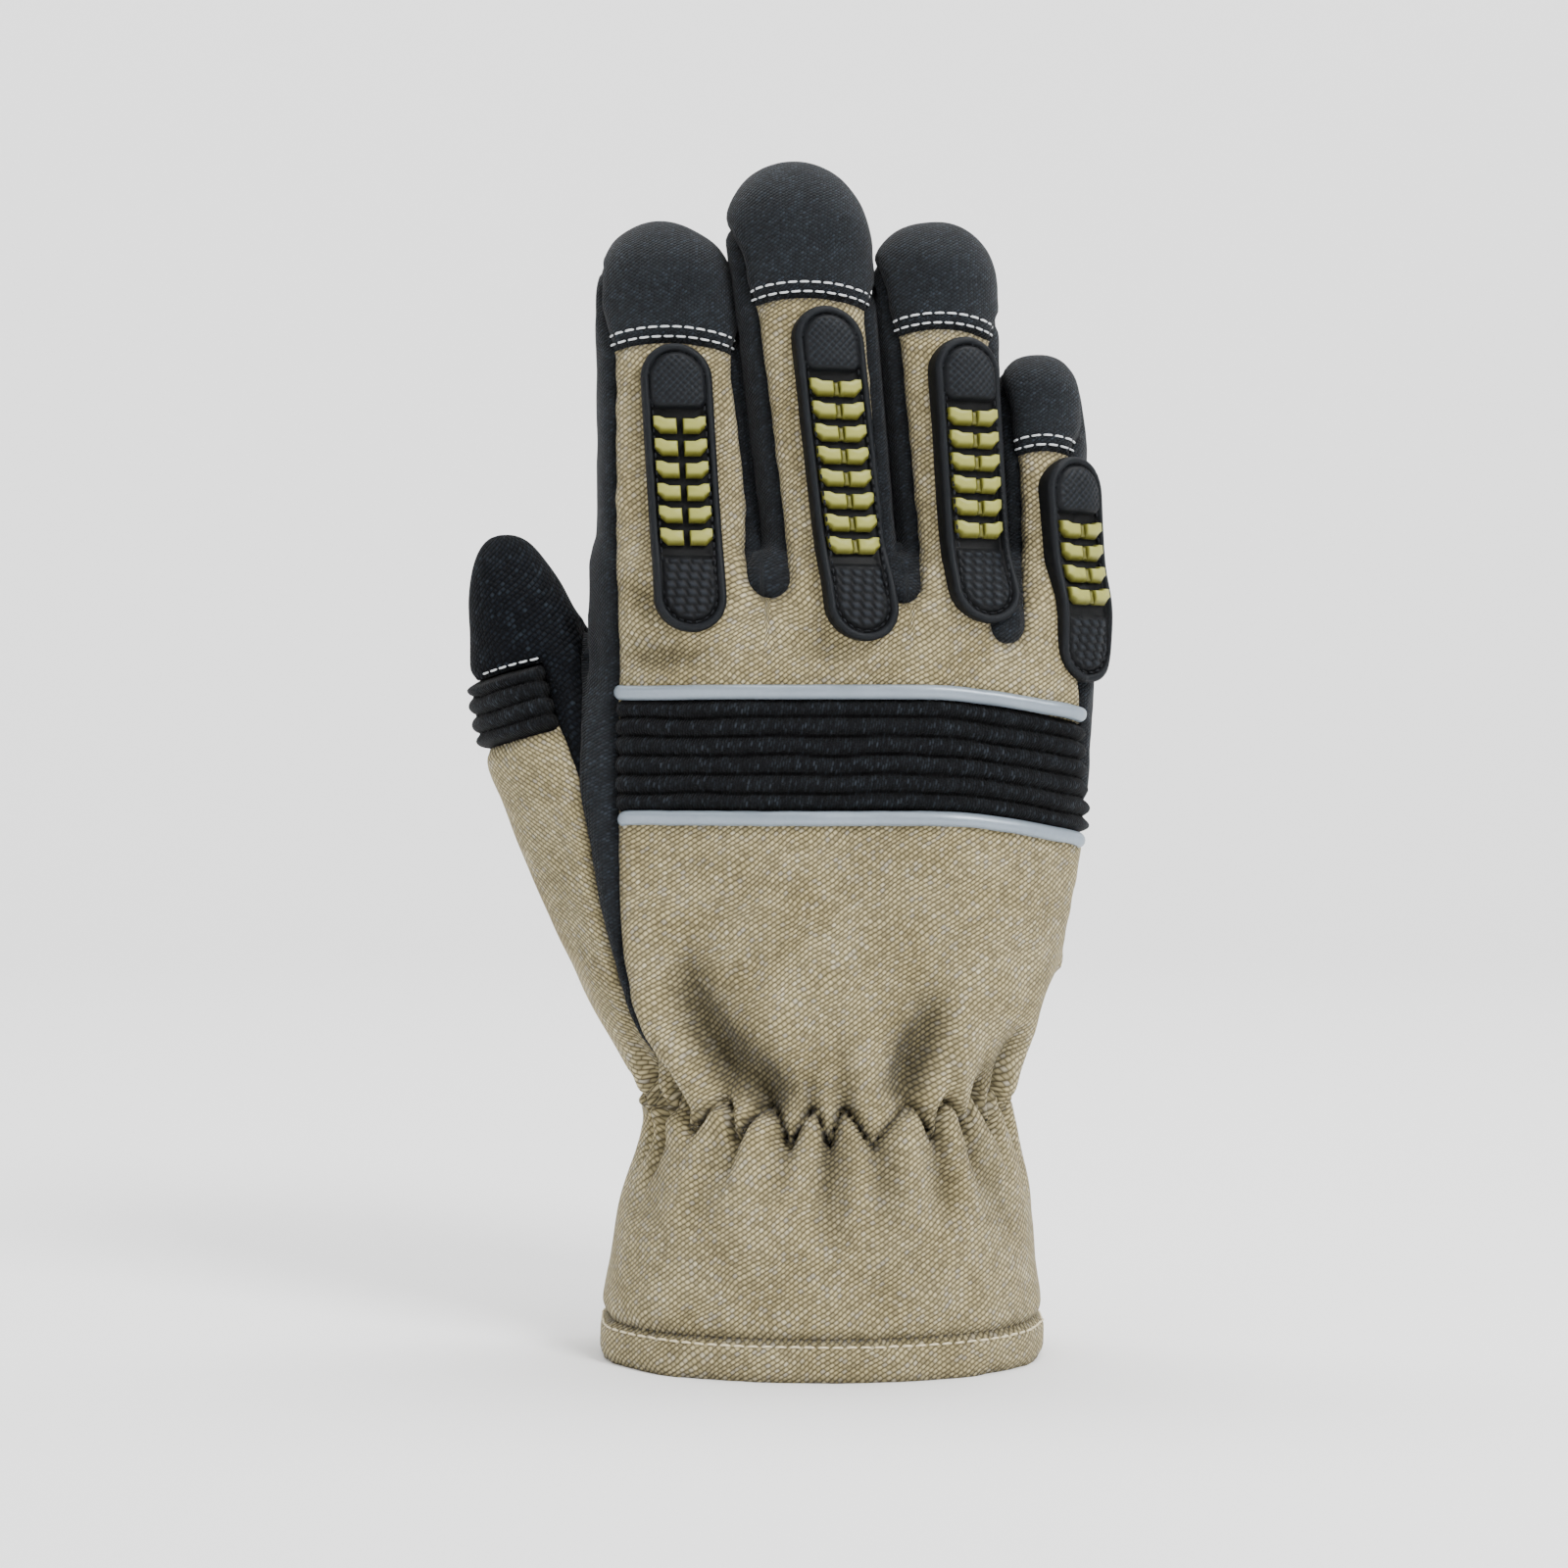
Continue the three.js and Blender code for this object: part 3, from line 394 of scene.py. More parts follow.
# The bare hand: coarse lofts, fused, then drawn onto the smooth field
def bareHand():
    parts = []
    rings = []
    for z in np.arange(-9, crotchLevel + 3, 3.0):
        shift, wide, back, palm = single(bodySection(np.array(max(z, 0.0))))
        rings.append(ring(shift, 0, z, wide - 0.5, back - 0.5, palm - 0.5, 96))
    parts.append(loftObject("body", rings))
    for i in range(len(fingers)):
        tip, dome = fingerEnd(i)
        straight = np.arange(crotchLevel - 18, tip - dome, 3.0)
        rings = []
        for z in np.append(straight, tip - dome + dome * np.sin(np.radians([0, 20, 40, 60, 75, 85]))):
            midX, midY, wide, depth = single(fingerSection(i, np.array([z])))
            up = max(0.0, (z - tip + dome) / dome)
            shrink = max(1 - up**2.25, 0.0) ** (1 / 2.25)
            low = 5 * max(0.0, (crotchLevel - z) / 18)
            half = max(wide * shrink - 1.7 - low, 0.3)
            deep = max(depth * shrink - 1.2 - low, 0.3)
            rings.append(ring(midX, midY, z - 1.2 * up, half, deep, deep, 40))
        parts.append(loftObject(f"stall{i}", rings))
    domed = thumbDome + (1 - thumbDome) * np.sin(np.radians([20, 40, 58, 72, 84]))
    rings = []
    for height in np.append(np.linspace(0.06, thumbDome, 26), domed):
        midX, midY, wide, depth = single(thumbSection(np.array([height])))
        up = max(0.0, (height - thumbDome) / (1 - thumbDome))
        shrink = max(1 - up**tipRound, 0.0) ** (1 / tipRound)
        half, deep = max(wide * shrink - 1, 0.3), max(depth * shrink - 1, 0.3)
        level = glove["cuffHeight"] + height * glove["thumbHeight"] - up
        leaning = ring(midX, midY, level, half, deep, deep, 48, 2.1)
        leaning[:, 2] -= leanAt(height) * (leaning[:, 1] - midY)
        rings.append(leaning)
    parts.append(loftObject("thumb", rings))
    select(*parts)
    bpy.ops.object.join()
    whole = parts[0]
    remesh = whole.modifiers.new("fuse", "REMESH")
    remesh.mode = "VOXEL"
    remesh.voxel_size = glove["voxel"]
    bpy.ops.object.modifier_apply(modifier=remesh.name)
    points, tris = arraysOf(whole.data)
    bpy.data.objects.remove(whole)
    for k in range(7):
        points -= np.clip(handDistance(points), -1.5, 1.5)[:, None] * normalsOf(points, tris)
        if k in (1, 3):
            points = relax(points, tris)
    # points that the field sends astray, mostly between the fingers, are eased back into line
    off = handDistance(points)
    loose = np.abs(off) > 0.2
    for _ in range(8):
        loose[tris[loose[tris].any(1)]] = True
    loose = np.flatnonzero(loose)
    for _ in range(24):
        off[loose] = handDistance(points[loose])
        astray = np.abs(off) > 0.2
        for _ in range(2):
            astray[tris[astray[tris].any(1)]] = True
        smoother = relax(points, tris, 0.9)
        ways = normalsOf(points, tris)[loose]
        points[astray] = smoother[astray]
        points[loose] -= np.clip(off * ~astray, -0.3, 0.3)[loose, None] * ways
    return points, tris


def relax(points, tris, share=0.5):
    edges = edgesOf(tris)
    edges = np.concatenate([edges, edges[:, ::-1]])
    count = np.bincount(edges[:, 0], minlength=len(points))[:, None]
    sums = [np.bincount(edges[:, 0], points[edges[:, 1], axis], len(points)) for axis in range(3)]
    return points + share * (np.stack(sums, 1) / count - points)


# Gathers at the wrist elastic, in mm but for their count
gathers = {"count": 23, "depth": 3.7, "reach": 21.0, "zigzag": 3.6, "groove": 1.5, "droop": 3.2}
# Folds that fan out from them: place and width in degrees round the wrist from the middle of the
# back, reach up and down in mm, lean in degrees per mm
fanFolds = table(
    "place up down depth width lean",
    (-58, 26, 12, 1.6, 8, -0.2),
    (-38, 34, 14, 1.8, 7, -0.25),
    (-21, 48, 13, 2.6, 8, -0.5),
    (-6, 22, 24, 1.6, 6, 0.1),
    (6, 30, 30, 1.8, 7, 0.1),
    (20, 26, 20, 1.6, 6, 0.2),
    (33, 38, 22, 2.2, 7, -0.45),
    (52, 28, 26, 1.7, 7, 0.25),
    (68, 22, 20, 1.3, 8, 0.1),
    (112, 20, 22, 1.4, 9, 0),
    (140, 26, 20, 1.6, 8, 0.2),
    (160, 24, 24, 1.6, 7, 0.2),
    (178, 30, 22, 1.7, 8, 0),
    (-162, 26, 24, 1.6, 7, -0.2),
    (-142, 28, 20, 1.6, 8, -0.2),
    (-110, 20, 22, 1.4, 9, 0),
)


def roundAngle(p):
    shift = bodySection(p[:, 2])[0]
    return np.arctan2(p[:, 0] - shift, -p[:, 1] * 1.5)


def elasticLine(p):
    angle = roundAngle(p)
    onPalm = smoothstep(np.abs(angle), 1.9, 2.2)
    turns = angle * gathers["count"] / (2 * math.pi)
    warped = turns + (1 - onPalm) * (0.16 * np.sin(turns * 1.7 + 1) + 0.1 * np.sin(turns * 2.9))
    scallops = 2 * np.abs(np.sin(math.pi * warped)) ** 0.85 - 1
    points = 1.1 - 2.2 * np.abs(2 * np.mod(warped, 1) - 1)
    shape = gathers["zigzag"] * (scallops + (points - scallops) * onPalm)
    droop = gathers["droop"] * np.clip(np.cos(angle), 0, 1) ** 2
    return glove["cuffHeight"] - droop + shape, warped


def fade(away, reach):
    return np.clip(1 - np.abs(away) / reach, 0, 1) ** 1.5


# Creases of the back and the cuff, one by one: ends, depth, width and sideways bow in mm, and the
# side that the ridge is on
creaseStrokes = table(
    "x1 z1 x2 z2 depth width bow ridge",
    (-33, 97, -5, 61, 8.0, 6.0, 8.0, -1),
    (26, 87, 14, 61, 6.2, 4.8, -3.0, 1),
    (-46, 78, -25, 56, 3.8, 3.4, 1.5, -1),
    (47, 78, 36, 59, 3.2, 3.4, -1.0, 1),
    (-40, 96, -37, 70, 0.9, 4.0, 0.5, 1),
    (5, 58, 1, 30, 2.8, 3.6, 0.5, 1),
    (-22, 56, -29, 32, 2.2, 4.0, 0.5, -1),
    (22, 57, 31, 34, 2.6, 3.8, 0.5, 1),
    (35, 54, 43, 30, 1.8, 4.0, 0.5, 1),
    (-9, 56, -13, 38, 1.8, 3.0, 0.3, -1),
    (-36, 54, -43, 32, 2.0, 3.8, -0.5, -1),
    (13, 56, 17, 34, 2.0, 3.2, 0.4, 1),
    (-48, 165, -20, 160, 1.9, 3.5, -1.0, 1),
    (-47, 182, -33, 168, 1.7, 3.6, -1.5, 1),
    (40, 163, 54, 171, 0.8, 3.0, 1.0, 1),
    (-4, 168, 6, 161, 0.6, 3.5, 1.0, 1),
)


def strokeOffset(p):
    out = np.zeros(len(p))
    for s in creaseStrokes:
        dx, dz = s["x2"] - s["x1"], s["z2"] - s["z1"]
        length = math.hypot(dx, dz)
        along = ((p[:, 0] - s["x1"]) * dx + (p[:, 2] - s["z1"]) * dz) / length**2
        across = ((p[:, 0] - s["x1"]) * dz - (p[:, 2] - s["z1"]) * dx) / length
        t = np.clip(along, 0, 1)
        across = across - s["bow"] * 4 * t * (1 - t)
        ends = np.sin(math.pi * np.clip(0.1 + 0.8 * along, 0, 1)) * smoothstep(along, -0.15, 0.15)
        ends = ends * (1 - smoothstep(along, 0.85, 1.15)) * smoothstep(-p[:, 1], -1, 4)
        out -= s["depth"] * ends * np.exp(-((across / s["width"]) ** 2))
        ridge = across + s["ridge"] * 1.9 * s["width"]
        out += 0.5 * s["depth"] * ends * np.exp(-((ridge / s["width"]) ** 2))
    return out


def foldOffset(p):
    line, warped = elasticLine(p)
    above = p[:, 2] - line
    angle = roundAngle(p)
    puckers = 0.5 - 0.5 * np.cos(2 * math.pi * warped)
    uneven = 0.85 + 0.4 * np.sin(3 * angle + 0.6) * np.sin(7 * angle + 2)
    reach = gathers["reach"] * (1 + 0.3 * np.sin(5 * angle))
    upper = (0.3 - 1.1 * puckers**1.3) * fade(above, reach)
    lower = 0.35 * puckers - 0.9 * (1 - puckers) ** 2
    out = gathers["depth"] * uneven * np.where(above > 0, upper, lower * fade(above, 0.95 * reach))
    out -= gathers["groove"] * np.exp(-((above / 1.3) ** 2))
    for fold in fanFolds:
        level = p[:, 2] - glove["cuffHeight"]
        reach = np.where(level > 0, fold["up"], fold["down"])
        place = fold["place"] + fold["lean"] * level
        away = ((np.degrees(angle) - place + 540) % 360 - 180) / fold["width"]
        out -= fold["depth"] * fade(level, reach) * np.exp(-(away**2))
        out += 0.45 * fold["depth"] * fade(level, reach) * np.exp(-((np.abs(away) - 1.9) ** 2) * 1.6)
    cloth = smoothstep(p[:, 2], 12, 30)
    gaps = np.min([np.abs(p[:, 0] - creaseX(crease, p[:, 2])) for crease in creases[1:4]], axis=0)
    packed = np.exp(-((gaps / 5) ** 2)) * smoothstep(p[:, 2], crotchLevel - 10, crotchLevel + 5)
    out += (0.5 * cloth * ripple(p, 36, 3) + 0.2 * ripple(p, 13, 5)) * (1 - packed) + 0.3 * packed
    return out + strokeOffset(p)


# Cloth coordinates in mm: how far round from the middle of the back, of the palm or of the thumb's
# outer side, and how far up, so that a weave runs over a finger as it does over the hand
def arcLength(angle, wide, depth):
    steps = (np.arange(32) + 0.5) / 32
    turn = angle[:, None] * steps
    return angle * np.hypot(wide[:, None] * np.cos(turn), depth[:, None] * np.sin(turn)).mean(1)


def clothCoordinates(p):
    x, y, z = p.T
    shift, wide, back, palm = bodySection(z)
    depth = np.where(y < 0, back, palm)
    body = []
    for side in (-1, 1):
        angle = np.arctan2((x - shift) / wide, side * y / depth)
        body.append(arcLength(angle, wide, depth) + shift)
    height = np.clip((z - glove["cuffHeight"]) / glove["thumbHeight"], 0, 1)
    midX, midY, half, deep = thumbSection(height)
    thumbArc = arcLength(np.arctan2((y - midY) / deep, (midX - x) / half), deep, half)
    nearest = np.argmin([fingerValue(i, p) for i in range(4)], axis=0)
    share = smoothstep(z, crotchLevel - 22, crotchLevel + 4)
    up = z.copy()
    for i in range(len(fingers)):
        on = nearest == i
        tip, dome = fingerEnd(i)
        section = fingerSection(i, np.minimum(z[on], tip))
        midX, midY, half, deep = (np.broadcast_to(v, z[on].shape) for v in section)
        high = np.clip((z[on] - tip + dome) / dome, 0, 0.995)
        for k, side in enumerate((-1, 1)):
            angle = np.arctan2((x[on] - midX) / half, side * (y[on] - midY) / deep)
            arc = arcLength(angle, half, deep) * np.sqrt(1 - high**2) + midX
            body[k][on] = body[k][on] * (1 - share[on]) + arc * share[on]
        up[on] = np.where(high > 0, tip - dome + dome * np.arcsin(high), z[on])
    return np.stack([body[0], body[1], thumbArc, up], 1)


print("stage: bare hand")
restPoints, handTris = bareHand()
restNormals = normalsOf(restPoints, handTris)
folded = restPoints + foldOffset(restPoints)[:, None] * restNormals
# Columns: place, rest place, rest normal, cloth coordinates
handData = np.concatenate([folded, restPoints, restNormals, clothCoordinates(restPoints)], 1)
print("hand", len(handData), len(handTris), restPoints.min(0), restPoints.max(0))

# Seam lines, as in the solids
farOut = 0.9
indexSideSeams = table(
    "height left right",
    (0.09, -0.336, -0.328),
    (0.17, -0.385, -0.368),
    (0.28, -0.42, -0.397),
    (0.4, -0.45, -0.403),
    (0.6, -0.485, -0.405),
    (0.9, -0.478, -0.41),
    (2, -0.478, -0.418),
)
palmSeams = table(
    "height left right",
    (-0.06, -0.275, 0.3),
    (0.1, -0.29, 0.34),
    (0.22, -0.345, 0.46),
    (0.27, -0.378, farOut),
    (0.4, -0.455, farOut),
    (0.58, -0.505, farOut),
    (0.67, -0.535, farOut),
    (0.69, -farOut, farOut),
    (2.2, -farOut, farOut),
)
thumbSeams = table(
    "height left right",
    (0.19, -farOut, -0.3),
    (0.366, -farOut, -0.24),
    (0.472, -farOut, -0.233),
    (0.592, -farOut, -0.265),
    (0.672, -farOut, -0.35),
    (0.725, -farOut, -0.46),
    (1.3, -farOut, -0.46),
)
seamLevels = np.arange(0, 330, 0.5)


def seamX(rows, side, z):
    heights = [glove["cuffHeight"] + row["height"] * glove["palmHeight"] for row in rows]
    line = np.interp(seamLevels, heights, [row[side] * handWidth for row in rows])
    kernel = np.exp(-((np.arange(-16, 17) / 7.0) ** 2))
    padded = np.pad(line, 16, mode="edge")
    return np.interp(z, seamLevels, np.convolve(padded, kernel / kernel.sum(), mode="valid"))


# Above 0 on the back. The thumb's own back reaches further round than the hand's
def backSide(p):
    x, y, z = p.T
    out = smoothstep(-x, 40, 62) * smoothstep(z, 74, 92)
    return 0.095 * handWidth * out - y


def between(rows, p, back):
    x, _, z = p.T
    low = glove["cuffHeight"] + rows[0]["height"] * glove["palmHeight"]
    high = glove["cuffHeight"] + rows[-1]["height"] * glove["palmHeight"]
    side = backSide(p) if back else -backSide(p)
    left, right = seamX(rows, "left", z), seamX(rows, "right", z)
    return np.min([x - left, right - x, z - low, high - z, side], axis=0)


rest = (handData, handTris)


def take(region):
    global rest
    data, tris = rest
    piece, rest = cut(data, tris, region(data[:, 3:6]))
    return piece


# Region functions, larger than 0 inside
hem = {"height": 9.5, "raise": 0.9}
cuffPalmShare = 0.8 # of the cuff's width is black on the palm side


def hemRegion(p):
    return hem["height"] - p[:, 2]


def cuffRegion(p):
    return elasticLine(p)[0] - p[:, 2]


def cuffPalmRegion(p):
    foot = cuffPalmShare * glove["cuffWidth"] / 2
    head = cuffPalmShare * glove["wristWidth"] / 2 - 1
    half = head + (foot - head) * np.clip(1 - p[:, 2] / glove["cuffHeight"], 0, 1)
    return np.minimum(half - np.abs(p[:, 0]), p[:, 1])


def indexSideRegion(p):
    x, y, z = p.T
    onBack = between(indexSideSeams, p, True) - 3.0 * smoothstep(z, capLevel(0) - 3, capLevel(0) + 12)
    left, right = seamX(indexSideSeams, "left", z), seamX(indexSideSeams, "right", z) - 2
    above = np.min([0.16 * handDepth - y, y + 0.01, z - crotchLevel + 12, right - x, x - left], axis=0)
    return np.maximum(onBack, above)


stripEnds = table("back palm", (0.07, 0.9), (0.945, 1.02), (0.935, 1.02), (0.86, 0.96), (0.24, 0.27))


def capLevel(i):
    return crotchLevel + fingers[i]["length"] * glove["fingerLength"] * (1 - fingers[i]["cap"])


# A strip is full width at its lower end and narrows on the back towards the caps beside it
def stripRegion(i):
    half = creases[i]["strip"] * glove["fingerDepth"]
    leftCap, rightCap = capLevel(i - 1), capLevel(min(i, 3))
    outermost = i == 4

    def region(p):
        x, y, z = p.T
        away = x - creaseX(creases[i], z)
        end = np.where(y < 0, stripEnds[i]["back"], stripEnds[i]["palm"])
        bottom = glove["cuffHeight"] + glove["palmHeight"] * end + half
        onLeft = (0.95 if outermost else 0.6) * smoothstep(z, leftCap - 4, leftCap + 8)
        if not outermost:
            onLeft += 0.45 * smoothstep(z, bottom, bottom + 22)
        onRight = 0.4 * smoothstep(z, rightCap - 4, rightCap + 8)
        onRight += 0.6 * smoothstep(z, rightCap + 8, rightCap + 24)
        narrow = np.where(away < 0, onLeft, onRight)
        away = np.abs(away)
        below = np.clip(bottom - z, 0, None)
        return half * (1 - narrow * smoothstep(-y, -6, 0)) - np.sqrt(away**2 + below**2)

    return region


# The lower edge of a fingertip, arched over the finger
def capEdge(i, x):
    level = capLevel(i)
    left, right = creaseX(creases[i], level), creaseX(creases[i + 1], level)
    share = (x - (left + right) / 2) / ((right - left) / 2)
    return level + 2.4 * (1 - share**2) - 1.2


def capRegion(i):
    far = fingers[i]["forward"] * handDepth + 0.24 * glove["fingerDepth"]

    def region(p):
        x, y, z = p.T
        arc = capEdge(i, x)
        others = np.min([fingerValue(j, p) for j in range(4) if j != i], axis=0)
        return np.min([z - arc, far - y, 12 * (others - fingerValue(i, p))], axis=0)

    return region


thumbBand = {"foot": glove["cuffHeight"] + 0.745 * glove["thumbHeight"] - 18, "height": 17, "ribs": 4}
thumbBandCorner = -61.5 # where its lower edge ends on the back


# Height above the foot of the thumb's ribbed band, in mm, along its slope
def thumbBandCoordinate(p):
    x, y, z = p.T
    front = np.clip((x + 0.69 * handWidth) / (0.145 * handWidth), 0, 1.2)
    lift = np.where(y < 0.1 * handWidth, 4.5 * front, -2.0 * front)
    return z - thumbBand["foot"] - lift


def thumbBandRegion(p):
    x, y, _ = p.T
    up = thumbBandCoordinate(p)
    edge = np.where(y < 0.1 * handWidth, thumbBandCorner - 0.26 * up, -62 - 0.35 * up)
    return np.min([up, thumbBand["height"] - up, edge - x], axis=0)


def thumbBackRegion(p):
    x, _, z = p.T
    below = -thumbBandCoordinate(p)
    right = np.minimum(seamX(indexSideSeams, "left", z), thumbBandCorner + 0.38 * below)
    onBack = np.minimum(right - x, backSide(p))
    onPalm = np.minimum(seamX(palmSeams, "left", z) - x, -backSide(p))
    return np.minimum(np.maximum(onBack, onPalm), below + 1.5)


def thumbShellRegion(p):
    x, _, z = p.T
    foot = glove["cuffHeight"] + 0.46 * glove["palmHeight"]
    upper = np.min([-0.44 * handWidth - x, z - foot, backSide(p)], axis=0)
    return np.maximum(between(thumbSeams, p, False), upper)


bandHeight = 26.0 # of the knuckle band
bandRibs = 6
bandTop = glove["cuffHeight"] + 0.757 * glove["palmHeight"]
bandBottom = bandTop - bandHeight


def bandDip(x):
    return -0.14 * handDepth * np.clip((x / handWidth - 0.2) / 0.33, 0, 1.2) ** 1.6


def bandRegion(p):
    x, y, z = p.T
    up = z - bandDip(x)
    return np.min([up - bandBottom, bandTop - up, -y, x + 0.407 * handWidth], axis=0)


def aboveBandRegion(p):
    x, y, z = p.T
    up = z - bandDip(x) - (bandTop + bandBottom) / 2
    return np.min([up, -y, x - seamX(indexSideSeams, "right", z) + 8], axis=0)


# The palm's lower corner is rounded up towards the little finger's side
def palmRegion(p):
    x, y, z = p.T
    corner = z - 86 - 16 * np.exp(-y / 6) * smoothstep(x, 20, 40)
    return np.minimum(between(palmSeams, p, False), np.where(x > 30, corner, 1e3))


print("stage: cutting the panels")
rest = cut(*rest, restPoints[:, 2])[0]
panels = {}
hemWhole = take(hemRegion)
panels["hem_palm"], panels["hem_back"] = cut(*hemWhole, cuffPalmRegion(hemWhole[0][:, 3:6]))
cuffWhole = take(cuffRegion)
panels["cuff_palm"], panels["cuff_back"] = cut(*cuffWhole, cuffPalmRegion(cuffWhole[0][:, 3:6]))
panels["side_strip_index"] = take(indexSideRegion)
strips = ("web_index_middle", "web_middle_ring", "web_ring_little", "side_strip_little")
for i, name in enumerate(strips, 1):
    panels[name] = take(stripRegion(i))
for i, finger in enumerate(fingers):
    panels[f"cap_{finger['name']}"] = take(capRegion(i))
panels["thumb_rib_band"] = take(thumbBandRegion)
panels["thumb_back"] = take(thumbBackRegion)
panels["thumb_shell"] = take(thumbShellRegion)
panels["knuckle_band"] = take(bandRegion)
panels["finger_back_panel"] = take(aboveBandRegion)
panels["palm_panel"] = take(palmRegion)
panels["hand_back_panel"] = rest


# Materials. Lengths in the patterns are in mm of cloth, read from the pieces' own attributes
def linear(code):
    values = [int(code[k : k + 2], 16) / 255 for k in (1, 3, 5)]
    return tuple([v / 12.92 if v <= 0.04045 else ((v + 0.055) / 1.055) ** 2.4 for v in values] + [1.0])


# Sets a node's inputs: each is a value, a socket, or a node that stands for its first output in use
def plug(node, inputs):
    for key, value in inputs.items():
        if isinstance(value, bpy.types.Node):
            value = next(socket for socket in value.outputs if socket.enabled)
        if isinstance(value, bpy.types.NodeSocket):
            node.id_data.links.new(value, node.inputs[key])
        else:
            node.inputs[key].default_value = value


# Adds a node with its inputs, its settings and, on a colour ramp, its stops
def addNode(tree, kind, inputs, stops=(), **settings):
    made = tree.nodes.new(kind)
    for key, value in settings.items():
        setattr(made, key, value)
    plug(made, inputs)
    if stops:
        elements = made.color_ramp.elements
        while len(elements) < len(stops):
            elements.new(0.5)
        for element, (place, colour) in zip(elements, stops):
            element.position, element.color = place, linear(colour)
    return made


def material(name, roughness, specular=0.3):
    made = bpy.data.materials.new(name)
    made.use_nodes = True
    shader = made.node_tree.nodes["Principled BSDF"]
    plug(shader, {"Roughness": roughness, "Specular IOR Level": specular})
    return made, made.node_tree, shader


# A twill of heathered yarn: slanted ribs, each a row of short floats of their own shade. The eye gets
# fine diagonal lines of light, mid and dark dashes, and broad soft clouds over them. Ribs and floats
# are a few times wider than real yarn, which is too fine for the render to show
def weave(name, code):
    made, tree, shader = material(name, code["roughness"], code.get("specular", 0.2))
    marks = {}
    for key in ("across", "along", "seam", "fold"):
        marks[key] = addNode(tree, "ShaderNodeAttribute", {}, attribute_name=key).outputs["Fac"]
    cloth = addNode(tree, "ShaderNodeCombineXYZ", {0: marks["across"], 1: marks["along"]})
    # x runs along the ribs and y across them, both counted in floats and ribs
    slant = {"Vector": cloth, "Angle": -math.radians(code["slant"])}
    turned = addNode(tree, "ShaderNodeVectorRotate", slant, rotation_type="Z_AXIS")
    wander = addNode(tree, "ShaderNodeTexNoise", {"Vector": cloth, "Scale": 0.09, "Detail": 1.0})
    sway = {0: wander, 1: (0, code["sway"], 0), 2: turned}
    swayed = addNode(tree, "ShaderNodeVectorMath", sway, operation="MULTIPLY_ADD")
    sizes = {0: swayed, 1: (code["float"], code["rib"], 1)}
    counted = addNode(tree, "ShaderNodeVectorMath", sizes, operation="DIVIDE")
    split = addNode(tree, "ShaderNodeSeparateXYZ", {0: counted})
    row = addNode(tree, "ShaderNodeMath", {0: split.outputs["Y"]}, operation="FLOOR")
    step = {0: row, 1: 0.37, 2: split.outputs["X"]} # each rib starts a part of a float further on
    run = addNode(tree, "ShaderNodeMath", step, operation="MULTIPLY_ADD")
    cell = addNode(tree, "ShaderNodeMath", {0: run}, operation="FLOOR")
    where = addNode(tree, "ShaderNodeCombineXYZ", {0: row, 1: cell})
    chance = addNode(tree, "ShaderNodeTexWhiteNoise", {"Vector": where}, noise_dimensions="2D")
    # each float is an arch across the rib and a flatter one along it
    arches = []
    for value in (split.outputs["Y"], run):
        part = addNode(tree, "ShaderNodeMath", {0: value}, operation="FRACT")
        turn = addNode(tree, "ShaderNodeMath", {0: part, 1: math.pi}, operation="MULTIPLY")
        arches.append(addNode(tree, "ShaderNodeMath", {0: turn}, operation="SINE"))
    flatter = addNode(tree, "ShaderNodeMath", {0: arches[1], 1: 0.5}, operation="POWER")
    thread = addNode(tree, "ShaderNodeMath", {0: arches[0], 1: flatter}, operation="MULTIPLY")
    yarn = addNode(tree, "ShaderNodeValToRGB", {"Fac": chance}, code["yarn"])
    woven = {0: thread, 6: linear(code["gap"]), 7: yarn}
    shade = addNode(tree, "ShaderNodeMix", woven, data_type="RGBA")
    cloud = {"Vector": cloth, "Scale": 0.08, "Detail": 2.0, "Roughness": 0.5}
    cloud = addNode(tree, "ShaderNodeTexNoise", cloud)
    tone = addNode(tree, "ShaderNodeValToRGB", {"Fac": cloud}, code["cloud"])
    clouded = {0: code["cloudShare"], 6: shade, 7: tone}
    shade = addNode(tree, "ShaderNodeMix", clouded, data_type="RGBA", blend_type="MULTIPLY")
    # painted shade: darker towards a seam and down in a fold, both in mm
    paintedSeamFoldShade = []
    for key, low, high in (("seam", 0.0, 2.2), ("fold", -4.5, 0.2)):
        limits = {0: marks[key], 1: low, 2: high, 3: code[key + "Shade"], 4: 1.0}
        paintedSeamFoldShade.append(addNode(tree, "ShaderNodeMapRange", limits))
    paintedSeamFoldShade = addNode(tree, "ShaderNodeMath", {0: paintedSeamFoldShade[0], 1: paintedSeamFoldShade[1]}, operation="MULTIPLY")
    grey = addNode(tree, "ShaderNodeCombineColor", {0: paintedSeamFoldShade, 1: paintedSeamFoldShade, 2: paintedSeamFoldShade})
    shaded = {0: 1.0, 6: shade, 7: grey}
    shade = addNode(tree, "ShaderNodeMix", shaded, data_type="RGBA", blend_type="MULTIPLY")
    height = addNode(tree, "ShaderNodeMath", {0: chance, 1: 0.5, 2: thread}, operation="MULTIPLY_ADD")
    relief = {"Height": height, "Distance": code["bump"] / 1000, "Strength": 1.0}
    relief = addNode(tree, "ShaderNodeBump", relief)
    plug(shader, {"Base Color": shade, "Normal": relief})
    plug(shader, {"Sheen Weight": code["sheen"], "Sheen Roughness": 0.5})
    return made


